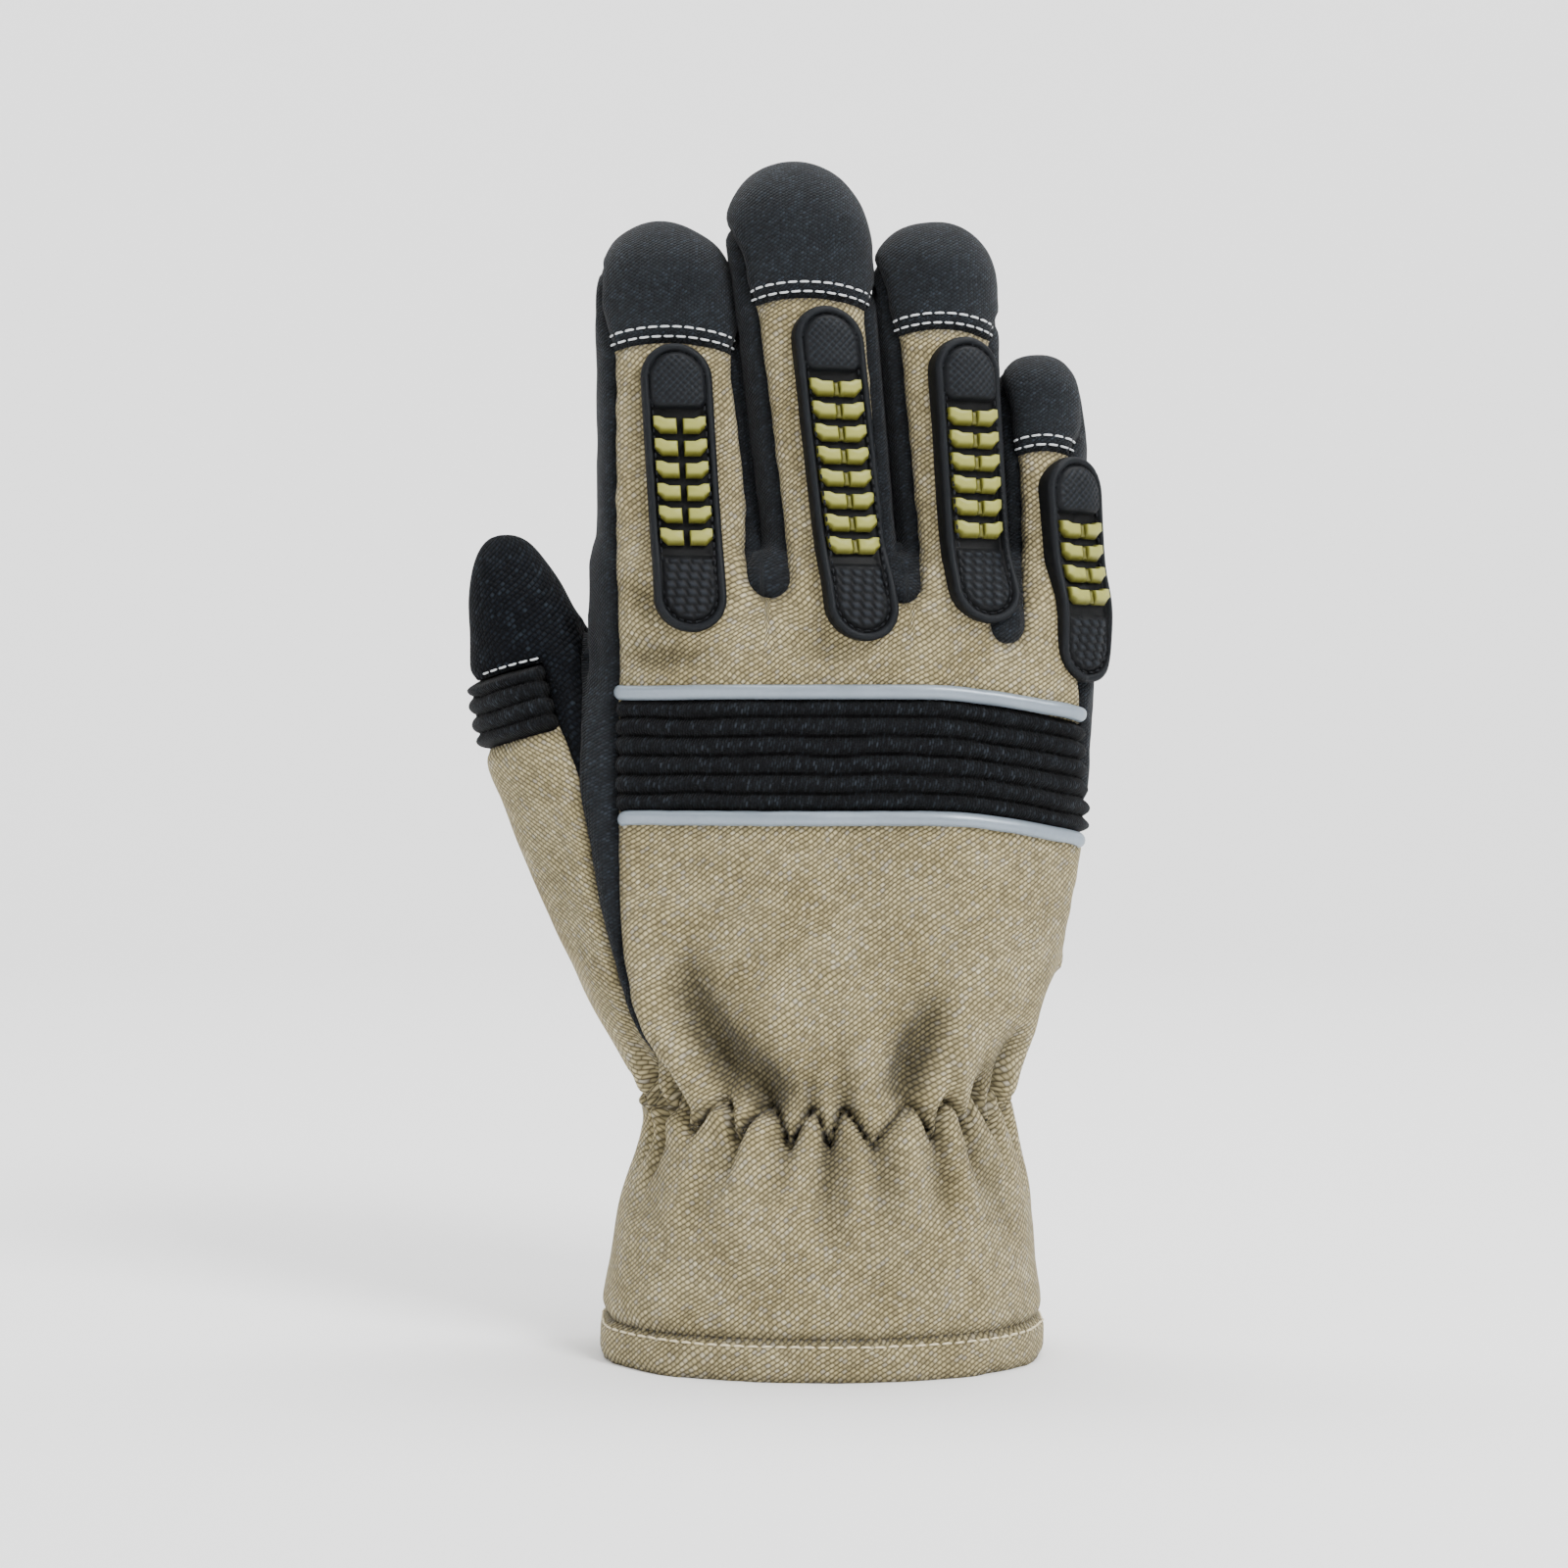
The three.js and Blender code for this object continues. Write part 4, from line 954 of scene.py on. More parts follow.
# Heathered tan outer cloth, woven as a fine steep twill. Its sizes are in mm
tanTwill = weave("tanTwill", {
    "roughness": 0.92, "slant": 38, "rib": 1.0, "float": 1.2, "sway": 3.0, "bump": 0.32, "sheen": 0.08,
    "yarn": (
        (0.0, "#9D9270"), (0.2, "#AFA37C"), (0.5, "#BFB288"),
        (0.8, "#CDC096"), (0.93, "#B0A997"), (1.0, "#DCD1AD"),
    ),
    "gap": "#524A35", "cloud": ((0.3, "#D8D3C4"), (0.7, "#FFFFFF")), "cloudShare": 0.7,
    "seamShade": 0.58, "foldShade": 0.34,
})
darkCloth = {
    "cloud": ((0.3, "#CED2D8"), (0.7, "#FFFFFF")), "cloudShare": 0.8, "seamShade": 0.5, "foldShade": 0.6,
}
# Blue-black cloth of the fingertips and side strips, woven as the tan one but finer and nearly plain
blackCloth = weave("blackCloth", darkCloth | {
    "roughness": 0.9, "slant": 38, "rib": 0.7, "float": 0.85, "sway": 2.0, "bump": 0.18, "sheen": 0.05,
    "yarn": ((0.0, "#14171B"), (0.5, "#1B2025"), (0.85, "#23292F"), (1.0, "#2D343C")), "gap": "#0C0E12",
})
# Knitted grip cloth of the palm: a lattice of small raised loops on black
blackKnit = weave("blackKnit", darkCloth | {
    "roughness": 0.85, "slant": -42, "rib": 1.2, "float": 1.2, "sway": 1.0, "bump": 0.34, "sheen": 0.05,
    "yarn": ((0.0, "#1E2125"), (0.5, "#23272B"), (0.85, "#292D32"), (1.0, "#2F343A")), "gap": "#060708",
})
# Open mesh knit of the thumb, darker than the palm's
meshKnit = weave("meshKnit", darkCloth | {
    "roughness": 0.9, "slant": 45, "rib": 1.2, "float": 1.2, "sway": 1.0, "bump": 0.35, "sheen": 0.0,
    "yarn": ((0.0, "#0B0E12"), (0.5, "#10141A"), (0.85, "#181D23"), (1.0, "#262D34")), "gap": "#040507",
    "specular": 0.1,
})
# Stretch rib of the bands: rows of fine upright wales on tightly sewn tucks
# its grooves get strong painted shade through foldShade
ribCloth = weave("ribCloth", darkCloth | {
    "roughness": 0.85, "slant": 78, "rib": 0.6, "float": 1.4, "sway": 0.4, "bump": 0.14, "sheen": 0.03,
    "yarn": ((0.0, "#0C0E11"), (0.5, "#14171B"), (0.85, "#21262B"), (1.0, "#31373E")), "gap": "#050608",
    "specular": 0.12, "seamShade": 0.6, "foldShade": 0.12,
})


# Piping of glass-bead tape: pale blue-grey, a little metallic, so that it catches a soft streak
def tape():
    made, tree, shader = material("reflectiveTape", 0.38, 0.5)
    place = addNode(tree, "ShaderNodeTexCoord", {}).outputs["Object"]
    grain = addNode(tree, "ShaderNodeTexNoise", {"Vector": place, "Scale": 900.0, "Detail": 2.0})
    broad = addNode(tree, "ShaderNodeTexNoise", {"Vector": place, "Scale": 60.0, "Detail": 2.0})
    greys = {0: broad, 6: linear("#76828D"), 7: linear("#94A0AB")}
    shade = addNode(tree, "ShaderNodeMix", greys, data_type="RGBA")
    specks = addNode(tree, "ShaderNodeMath", {0: grain, 1: 0.4}, operation="MULTIPLY")
    shade = addNode(tree, "ShaderNodeMix", {0: specks, 6: shade, 7: linear("#6C7680")}, data_type="RGBA")
    relief = addNode(tree, "ShaderNodeBump", {"Height": grain, "Distance": 0.05 / 1000, "Strength": 1.0})
    plug(shader, {"Base Color": shade, "Normal": relief, "Metallic": 0.25})
    return made


# Moulded guard rubber: matt blue-black, painted lighter on its crests and darker on the floor between
# them, a painted highlight and painted shade
def guardMoulding():
    made, tree, shader = material("guardMoulding", 0.6, 0.17)
    place = addNode(tree, "ShaderNodeTexCoord", {}).outputs["Object"]
    grain = addNode(tree, "ShaderNodeTexNoise", {"Vector": place, "Scale": 1400.0, "Detail": 2.0})
    lift = addNode(tree, "ShaderNodeAttribute", {}, attribute_name="lift").outputs["Fac"]
    stops = ((0.0, "#030405"), (0.3, "#090B0E"), (0.6, "#101317"), (1.0, "#272D34"))
    shade = addNode(tree, "ShaderNodeValToRGB", {"Fac": lift}, stops)
    relief = addNode(tree, "ShaderNodeBump", {"Height": grain, "Distance": 0.05 / 1000, "Strength": 1.0})
    plug(shader, {"Base Color": shade, "Normal": relief})
    return made


# Moulded olive-yellow blocks: matt tops, and painted shade turning them dark olive down their sides
def blockMoulding():
    made, tree, shader = material("blockMoulding", 0.5, 0.4)
    place = addNode(tree, "ShaderNodeTexCoord", {}).outputs["Object"]
    grain = addNode(tree, "ShaderNodeTexNoise", {"Vector": place, "Scale": 500.0, "Detail": 2.0})
    lift = addNode(tree, "ShaderNodeAttribute", {}, attribute_name="lift").outputs["Fac"]
    stops = ((0.0, "#191904"), (0.45, "#48460D"), (0.75, "#67661F"), (0.88, "#87873B"), (1.0, "#939346"))
    shade = addNode(tree, "ShaderNodeValToRGB", {"Fac": lift}, stops)
    specks = addNode(tree, "ShaderNodeMath", {0: grain, 1: 0.25}, operation="MULTIPLY")
    shade = addNode(tree, "ShaderNodeMix", {0: specks, 6: shade, 7: linear("#7A7A37")}, data_type="RGBA")
    relief = addNode(tree, "ShaderNodeBump", {"Height": grain, "Distance": 0.06 / 1000, "Strength": 1.0})
    plug(shader, {"Base Color": shade, "Normal": relief})
    return made


# Spun sewing thread: pale and matt, black in the guards
def thread(name, light, dark):
    made, tree, shader = material(name, 0.75, 0.25)
    place = addNode(tree, "ShaderNodeTexCoord", {}).outputs["Object"]
    fibre = addNode(tree, "ShaderNodeTexNoise", {"Vector": place, "Scale": 2500.0, "Detail": 2.0})
    tones = {0: fibre, 6: linear(dark), 7: linear(light)}
    shade = addNode(tree, "ShaderNodeMix", tones, data_type="RGBA")
    relief = addNode(tree, "ShaderNodeBump", {"Height": fibre, "Distance": 0.08 / 1000, "Strength": 1.0})
    plug(shader, {"Base Color": shade, "Normal": relief})
    return made


# Studio paper: nearly white and quite matt
def paper():
    made, _, shader = material("studioPaper", 0.95, 0.1)
    plug(shader, {"Base Color": linear("#F2F2F2")})
    return made


reflective = tape()
guardRubber = guardMoulding()
blockRubber = blockMoulding()
whiteThread = thread("whiteThread", "#E4E6E8", "#B9BDC1")
creamThread = thread("creamThread", "#E3D8BB", "#B9AD8C")
blackThread = thread("blackThread", "#1B1E23", "#050608")


def joined(meshes):
    start, points, faces = 0, [], []
    for p, f in meshes:
        points.append(p)
        faces.append(f + start)
        start += len(p)
    return np.concatenate(points), np.concatenate(faces)


def makePiece(name, points, tris, finish, slot, replaces=(), attributes=None, wall=0.0):
    mesh = bpy.data.meshes.new(name)
    moved = (points + frameShift) / 1000
    mesh.from_pydata([], [], [])
    mesh.vertices.add(len(moved))
    mesh.vertices.foreach_set("co", moved.ravel())
    corner = tris.shape[1]
    mesh.loops.add(len(tris) * corner)
    mesh.loops.foreach_set("vertex_index", tris.ravel().astype(np.int32))
    mesh.polygons.add(len(tris))
    mesh.polygons.foreach_set("loop_start", np.arange(0, len(tris) * corner, corner, dtype=np.int32))
    mesh.polygons.foreach_set("use_smooth", np.ones(len(tris), bool))
    for key, values in (attributes or {}).items():
        mesh.attributes.new(key, "FLOAT", "POINT").data.foreach_set("value", values.astype(np.float32))
    mesh.update(calc_edges=True)
    mesh.validate()
    made = bpy.data.objects.new(name, mesh)
    bpy.context.scene.collection.objects.link(made)
    mesh.materials.append(finish)
    if wall:
        thick = made.modifiers.new("wall", "SOLIDIFY")
        thick.thickness = wall / 1000
        thick.offset = -1
        thick.use_even_offset = False
        select(made)
        bpy.ops.object.modifier_apply(modifier=thick.name)
    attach(made, "root")
    if replaces:
        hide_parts(*replaces)
    return made


cloth = {
    "roll": 0.95, # how deep an edge turns in at a seam, in mm as all here
    "rollWidth": 1.5,
    "puff": 0.5, # how far the cloth rises beside a seam
    "puffWidth": 3.5,
    "pucker": 0.22, # small waves along a seam
}


# A panel rolled in at its seams, puffed beside them and puckered, with its own relief on top
def sewn(piece, finer=0, puff=1.0, extra=None):
    data, tris = piece
    for _ in range(finer):
        data, tris = subdivide(data, tris)
    normal = unit(data[:, 6:9])
    p = data[:, 3:6]
    away = edgeDistance(p, tris)
    out = -cloth["roll"] * np.exp(-((away / cloth["rollWidth"]) ** 2))
    out += puff * cloth["puff"] * (away / cloth["puffWidth"]) * np.exp(1 - away / cloth["puffWidth"])
    out += cloth["pucker"] * ripple(p, 5.5, 11) * np.exp(-away / 3.5)
    if extra is not None:
        out += extra(p, away)
    return data[:, :3] + out[:, None] * normal, tris, away, data


def ribShape(phase, depth, power=0.6):
    return depth * (np.abs(np.sin(math.pi * phase)) ** power - 1)


def bandExtra(p, away):
    up = (p[:, 2] - bandDip(p[:, 0]) - bandBottom) / bandHeight * bandRibs + 0.05 * ripple(p, 18, 21)
    return 1.5 + ribShape(up, 2.3, 0.8)


def thumbBandExtra(p, away):
    up = thumbBandCoordinate(p) / thumbBand["height"] * thumbBand["ribs"] + 0.05 * ripple(p, 18, 22)
    return 1.4 * smoothstep(away, 0, 2.4) + ribShape(up, 2.2)


def hemExtra(p, away):
    top = smoothstep(hem["height"] - p[:, 2], 0, 1.6)
    return hem["raise"] * top + 0.25 * ripple(p, 16, 31) * top


patchSeams = table(
    "height left right",
    (0.245, -0.115, 0.405),
    (0.36, -0.19, 0.45),
    (0.58, -0.225, 0.475),
    (0.69, -0.28, 0.475),
    (0.75, -0.4, 0.475),
    (0.95, -0.41, 0.475),
)


def patchRegion(p):
    top = glove["cuffHeight"] + 0.88 * glove["palmHeight"] - 0.15 * p[:, 0]
    return np.minimum(between(patchSeams, p, False), top - p[:, 2])


# Double seams of the palm, in mm across and up
palmSeamLines = {
    "upper": [(54.7, 160.7), (9.6, 169.0), (-29.7, 176.8), (-52.8, 176.8)],
    "middle": [(54.7, 145.8), (25.9, 152.5), (-8.4, 158.3), (-37.8, 164.5), (-52.8, 164.5)],
    "lower": [(53.3, 115.1), (34.0, 121.8), (10.2, 127.6), (-20.8, 129.8)],
    "stem": [(-8.7, 157.3), (-1.2, 142.6), (7.0, 127.6), (10.2, 117.2), (12.8, 104.4), (13.7, 91.0)],
    "edge": [(46.3, 90.2), (14.3, 90.2), (-3.5, 91.8), (-11.6, 96.1), (-15.7, 103.9), (-18.3, 115.6),
             (-22.4, 129.2), (-25.6, 136.7), (-31.4, 142.6), (-39.6, 146.3), (-50.1, 149.0)],
}


# A smooth line with a point every mm through a few chosen ones
def spread(points):
    points = np.array(points, float)
    knots = np.concatenate([[0], np.cumsum(np.linalg.norm(np.diff(points, axis=0), axis=1))])
    at = np.linspace(0, knots[-1], max(3, int(knots[-1])))
    line = np.stack([np.interp(at, knots, points[:, axis]) for axis in range(2)], 1)
    return smoothPath(line, 12)


def smoothPath(path, rounds=6):
    path = np.array(path)
    for _ in range(rounds):
        path[1:-1] = path[1:-1] * 0.5 + (path[:-2] + path[2:]) * 0.25
    return path


seamPoints = np.concatenate([spread(line) for line in palmSeamLines.values()])


# The palm puffs up between its seams and sinks along them
def quilted(p, away):
    near = np.full(len(p), 9.0)
    on = p[:, 1] > 0
    for k in np.array_split(np.flatnonzero(on), 20):
        gaps = np.hypot(p[k, 0][:, None] - seamPoints[:, 0], p[k, 2][:, None] - seamPoints[:, 1])
        near[k] = np.minimum(near[k], gaps.min(1))
    return -0.75 * np.exp(-((near / 2.2) ** 2)) + 0.25 * np.exp(-(((near - 4.5) / 2.5) ** 2))


def patchExtra(p, away):
    return 1.5 + quilted(p, away)


panels["palm_patch"], _ = cut(*panels["palm_panel"], patchRegion(panels["palm_panel"][0][:, 3:6]))
looks = {
    "hem_palm": (blackKnit, "black_knit", dict(extra=hemExtra, puff=0.2)),
    "hem_back": (tanTwill, "tan_cloth", dict(extra=hemExtra, puff=0.2)),
    "cuff_palm": (blackKnit, "black_knit", {}),
    "cuff_back": (tanTwill, "tan_cloth", {}),
    "side_strip_index": (blackCloth, "black_knit", {}),
    "web_index_middle": (blackCloth, "black_knit", {}),
    "web_middle_ring": (blackCloth, "black_knit", {}),
    "web_ring_little": (blackCloth, "black_knit", {}),
    "side_strip_little": (blackCloth, "black_knit", {}),
    "cap_index": (blackCloth, "black_knit", {}),
    "cap_middle": (blackCloth, "black_knit", {}),
    "cap_ring": (blackCloth, "black_knit", {}),
    "cap_little": (blackCloth, "black_knit", {}),
    "thumb_rib_band": (ribCloth, "black_rib", dict(finer=1, extra=thumbBandExtra)),
    "thumb_back": (tanTwill, "tan_cloth", {}),
    "thumb_shell": (meshKnit, "black_knit", {}),
    "knuckle_band": (ribCloth, "black_rib", dict(finer=1, extra=bandExtra)),
    "finger_back_panel": (tanTwill, "tan_cloth", {}),
    "palm_panel": (blackKnit, "black_knit", dict(extra=quilted)),
    "palm_patch": (blackKnit, "black_knit", dict(extra=patchExtra, puff=0.4)),
    "hand_back_panel": (tanTwill, "tan_cloth", {}),
}
print("stage: sewing the panels")
sewnMeshes = []
for name, (fabric, slot, options) in looks.items():
    points, tris, away, data = sewn(panels[name], **options)
    sewnMeshes.append((points, tris))
    across = data[:, 10] if "palm" in name else data[:, 11] if "thumb_" in name else data[:, 9]
    if name == "thumb_shell":
        across = np.abs(across)
    # seam and fold set the weave's painted shade at the seams and in the creases
    fold = foldOffset(data[:, 3:6])
    if "band" in name: # its grooves count as folds, so they get painted shade too
        fold = options["extra"](data[:, 3:6], away) * 2.3 - 3.4
    marks = {"seam": away, "fold": fold, "across": across, "along": data[:, 12]}
    makePiece(name + "_cloth", points, tris, fabric, slot, [name], marks, glove["wall"])
    print(name, len(tris))
surface = BVHTree.FromPolygons(*(part.tolist() for part in joined(sewnMeshes)))


# The first point of cloth on a way, and its normal turned back along the way
def hitFrom(origin, way, reach=400.0):
    place, normal, _, _ = surface.ray_cast(Vector(origin), Vector(way), reach)
    if place is None:
        return None, None
    normal = np.array(normal)
    return np.array(place), normal * (-1 if normal @ np.array(way) > 0 else 1)


# Elliptical tube along points, flat side to the cloth, with rounded ends
def tube(path, outward, halfOut, halfUp, sides=12, taper=2):
    path, outward = np.array(path), np.array(outward)
    along = unit(np.gradient(path, axis=0))
    up = unit(np.cross(along, outward))
    outward = np.cross(up, along)
    angle = np.linspace(0, 2 * math.pi, sides, endpoint=False)
    size = np.ones(len(path))
    for k in range(taper):
        size[k] = size[-1 - k] = math.sqrt(1 - (1 - k / taper) ** 2) * 0.9 + 0.1
    cos, sin = np.cos(angle)[None, :, None], np.sin(angle)[None, :, None]
    section = halfOut * cos * outward[:, None] + halfUp * sin * up[:, None]
    rings = (path[:, None] + size[:, None, None] * section).reshape(-1, 3)
    count = len(path)
    i, k = np.meshgrid(np.arange(count - 1), np.arange(sides), indexing="ij")
    a, b = (i * sides + k).ravel(), (i * sides + (k + 1) % sides).ravel()
    faces = np.concatenate([np.stack([a, b, b + sides], 1), np.stack([a, b + sides, a + sides], 1)])
    ends = np.stack([path[0], path[-1]])
    k = np.arange(sides)
    low = np.stack([np.full(sides, len(rings)), (k + 1) % sides, k], 1)
    last = (count - 1) * sides
    high = np.stack([np.full(sides, len(rings) + 1), last + k, last + (k + 1) % sides], 1)
    return np.concatenate([rings, ends]), np.concatenate([faces, low, high])


# Pipings along both edges of the knuckle band
piping = {"width": 3.5, "out": 1.5, "sink": 0.75, "gap": 1.75}


def bandLine(level):
    path, outward = [], []
    for angle in np.linspace(-78, 79, 150):
        turn = math.radians(angle)
        z = level + bandDip(0.0)
        shift, wide, back, _ = single(bodySection(np.array(z)))
        x = shift + wide * math.sin(turn)
        z = level + float(bandDip(x))
        target = np.array([x, -back * math.cos(turn), z])
        middle = np.array([shift + 0.55 * (x - shift), 0, z])
        place, normal = hitFrom(middle, target - middle)
        if place is None or not -0.41 * handWidth < place[0] < 0.517 * handWidth:
            continue
        path.append(place)
        outward.append(-normal if normal @ (target - middle) < 0 else normal)
    return smoothPath(path), unit(smoothPath(outward))


print("stage: pipings")
pipingLevels = {"piping_upper": bandTop + piping["gap"], "piping_lower": bandBottom - piping["gap"]}
for name, level in pipingLevels.items():
    path, outward = bandLine(level)
    ends = np.minimum(np.arange(len(path)), np.arange(len(path))[::-1]) / 5 # both turn into the seam
    path -= outward * (2.6 * np.clip(1 - ends, 0, 1) ** 2)[:, None]
    path = path + outward * (piping["out"] - piping["sink"])
    points, tris = tube(path, outward, piping["out"], piping["width"] / 2, 16, 3)
    makePiece(name + "_tape", points, tris, reflective, "grey_piping", [name])

# Finger guards: a frame moulded in one piece and the blocks that stand in it, in mm. u runs across,
# v up, and heights are over the cloth
guard = {
    "width": 16.4,
    "rim": 1.8, # width of the bead round it
    "channel": 0.75, # gap between the bead and the lower pad
    "height": 3.2,
    "floor": 1.3,
    "padHeight": 3.5,
    "footHeight": 2.5,
    "topPad": 13.6,
    "bottomPad": 16.0,
    "pitch": 5.2, # from block to block
    "block": 3.5,
    "groove": 1.3, # between the two halves of a block
    "blockHeight": 4.1,
    "grid": 0.27, # spacing of the points
}


def guardPlan(i):
    finger = fingers[i]
    topEnd = -guard["rim"] - guard["topPad"] * finger["pads"]
    blocksEnd = topEnd - (finger["rows"] + 0.5) * guard["pitch"]
    return topEnd, blocksEnd, blocksEnd - guard["bottomPad"] * finger["pads"] - guard["rim"]


# Gives a function from (u, v, out) on the guard to a place on the glove
def guardBed(i):
    finger = fingers[i]
    top = crotchLevel + finger["top"] * glove["fingerLength"]

    def axis(z):
        return (creaseX(creases[i], z) + creaseX(creases[i + 1], z)) / 2

    lean = (axis(top) - axis(crotchLevel)) / (top - crotchLevel)
    turn = math.radians(finger["turn"])
    right = np.array([math.cos(turn), math.sin(turn), 0])
    out = np.array([math.sin(turn), -math.cos(turn), 0])
    origin = np.array([axis(top), finger["forward"] * handDepth, top])
    bottom = guardPlan(i)[2]
    us, vs = np.arange(-10, 10.5, 1.0), np.arange(bottom - 3, 4, 1.0)
    depth = np.full((len(us), len(vs)), np.nan)
    for a, u in enumerate(us):
        for b, v in enumerate(vs):
            start = origin + right * (u + lean * v) + np.array([0, 0, v])
            place, _ = hitFrom(start + out * 40, -out, 60)
            if place is not None:
                depth[a, b] = (place - origin) @ out
    for b in range(len(vs)):
        good = ~np.isnan(depth[:, b])
        if good.any():
            depth[:, b] = np.interp(us, us[good], depth[good, b])
    skin = depth.copy()
    kernel = np.exp(-((np.arange(-8, 9) / 4.0) ** 2))
    kernel /= kernel.sum()
    smooth = np.stack([np.convolve(np.pad(row, 8, mode="edge"), kernel, mode="valid") for row in depth])
    middle = smooth[8:13].max(0)
    smooth = 0.45 * smooth + 0.55 * middle[None, :]
    smooth = np.minimum(smooth, middle[None, :])

    def sample(grid, u, v):
        a = np.clip(u - us[0], 0, len(us) - 1.001)
        b = np.clip(v - vs[0], 0, len(vs) - 1.001)
        i0, j0 = a.astype(int), b.astype(int)
        fa, fb = a - i0, b - j0
        return (grid[i0, j0] * (1 - fa) * (1 - fb) + grid[i0 + 1, j0] * fa * (1 - fb)
                + grid[i0, j0 + 1] * (1 - fa) * fb + grid[i0 + 1, j0 + 1] * fa * fb)

    def place(u, v, height, share=1.0):
        bed = sample(smooth, u, v) * share + sample(skin, u, v) * (1 - share)
        points = origin + right * (u + lean * v)[:, None] + out * (bed + height)[:, None]
        points[:, 2] += v
        return points

    return place


# How far inside a stadium shape, in mm
def stadium(u, v, half, top, bottom):
    straight = np.clip(v, bottom + half, top - half)
    return half - np.hypot(u, v - straight)


def roundedBox(u, v, left, right, low, high, radius):
    qu = np.abs(u - (left + right) / 2) - (right - left) / 2 + radius
    qv = np.abs(v - (low + high) / 2) - (high - low) / 2 + radius
    return radius - np.hypot(np.maximum(qu, 0), np.maximum(qv, 0)) - np.minimum(np.maximum(qu, qv), 0)


def dome(inside, width, height):
    t = np.clip(inside / width, 0, 1)
    return height * np.sqrt(1 - (1 - t) ** 2)


def guardHeights(i, u, v):
    topEnd, blocksEnd, bottom = guardPlan(i)
    half, rim, channel = guard["width"] / 2, guard["rim"], guard["channel"]
    inside = stadium(u, v, half, 0, bottom)
    bead = np.sqrt(np.clip(1 - ((inside - rim / 2) / (rim / 2)) ** 2, 0, 1))
    floor = guard["floor"] + 0.35
    height = np.where(inside < rim, guard["height"] - 0.9 + 0.9 * bead, guard["floor"] + 0.6)
    height = np.where(inside < 0.25, np.minimum(height, guard["height"] - 0.6), height)
    height = np.where(inside > rim + 0.2, floor, height)
    core = half - rim - 0.35 * channel
    wide = core + 0.5
    box = roundedBox(u, v, -wide, wide, topEnd + 0.2, 6, 2.6)
    pad = np.minimum(stadium(u, v, wide, -rim - 0.1, bottom), box)
    cross = np.abs(np.sin((u + v) * math.pi / 1.7)) * np.abs(np.sin((u - v) * math.pi / 1.7))
    crown = 0.7 * np.clip(1 - (u / core) ** 2, 0, 1)
    onPad = floor + dome(pad, 1.3, guard["padHeight"] - floor) + crown * smoothstep(pad, 0, 3)
    tread = (np.sqrt(cross) - 0.8) * smoothstep(pad, 0.8, 1.4)
    height = np.where(pad > 0, onPad + 0.45 * tread, height)
    # lift sets the colour: a painted highlight on the bead's crest and the raised ticks, painted shade
    # on the floor, lighter hatch grooves on the pads
    lift = 0.3 + 0.3 * bead * (inside < rim) - 0.3 * (inside > rim)
    lift = np.where(pad > 0, 0.42 - 0.7 * tread * (pad > 0.8), lift)
    foot = np.minimum(stadium(u, v, core, 0, bottom + rim + channel), blocksEnd - 0.3 - v)
    row = v / 1.9
    shift = 0.5 * np.mod(np.floor(row), 2)
    tick = np.mod((u + 0.5 * v) / 2.6 + shift, 1)
    raisedTick = smoothstep(tick, 0.06, 0.2) * (1 - smoothstep(tick, 0.72, 0.9))
    raisedTick = raisedTick * np.abs(np.sin(math.pi * row)) ** 0.5
    raisedTick = 0.55 * raisedTick * smoothstep(foot, 0.5, 1.0)
    onFoot = floor + dome(foot, 0.7, guard["footHeight"] - guard["floor"] - 0.6) + raisedTick
    lift = np.where(foot > 0, 0.2 + raisedTick, lift)
    return np.where(foot > 0, onFoot, height), lift


def guardFrameMesh(i, place):
    bottom = guardPlan(i)[2]
    half = guard["width"] / 2
    us = np.linspace(-half - 0.3, half + 0.3, int((guard["width"] + 0.6) / guard["grid"]))
    vs = np.linspace(bottom - 0.3, 0.3, int((0.6 - bottom) / guard["grid"]))
    u, v = (g.ravel() for g in np.meshgrid(us, vs, indexing="ij"))
    rows = len(vs)
    a, b = np.meshgrid(np.arange(len(us) - 1), np.arange(rows - 1), indexing="ij")
    k = (a * rows + b).ravel()
    pairs = ((k, k + rows, k + rows + 1), (k, k + rows + 1, k + 1))
    tris = np.concatenate([np.stack(corners, 1) for corners in pairs])
    grid = np.stack([u, v], 1)
    (grid, tris), _ = cut(grid, tris, stadium(u, v, half, 0, bottom) - 0.01)
    u, v = grid.T
    height, lift = guardHeights(i, u, v)
    points = place(u, v, height)
    border, back = np.unique(openEdges(tris, len(grid)), return_inverse=True)
    back = back.reshape(-1, 2)
    layers, faces = [points], [tris]
    above, start = border[back], len(points)
    u, v = u[border], v[border]
    outU, outV = unit(np.stack([u, v - np.clip(v, bottom + half, -half)], 1)).T
    # the side walls: height over the bed, share of the smoothed bed, and how far out
    for height, share, grow in ((2.2, 1.0, 0.05), (1.2, 0.6, 0.1), (0.2, 0.2, 0.1), (-1.4, 0.0, 0.0)):
        layers.append(place(u + outU * grow, v + outV * grow, np.full(len(border), height), share))
        below = back + start
        faces.append(np.stack([above[:, 1], above[:, 0], below[:, 0]], 1))
        faces.append(np.stack([above[:, 1], below[:, 0], below[:, 1]], 1))
        above, start = below, start + len(border)
    lift = np.concatenate([lift] + [np.full(len(border), 0.3)] * 4)
    return np.concatenate(layers), np.concatenate(faces), {"lift": lift}


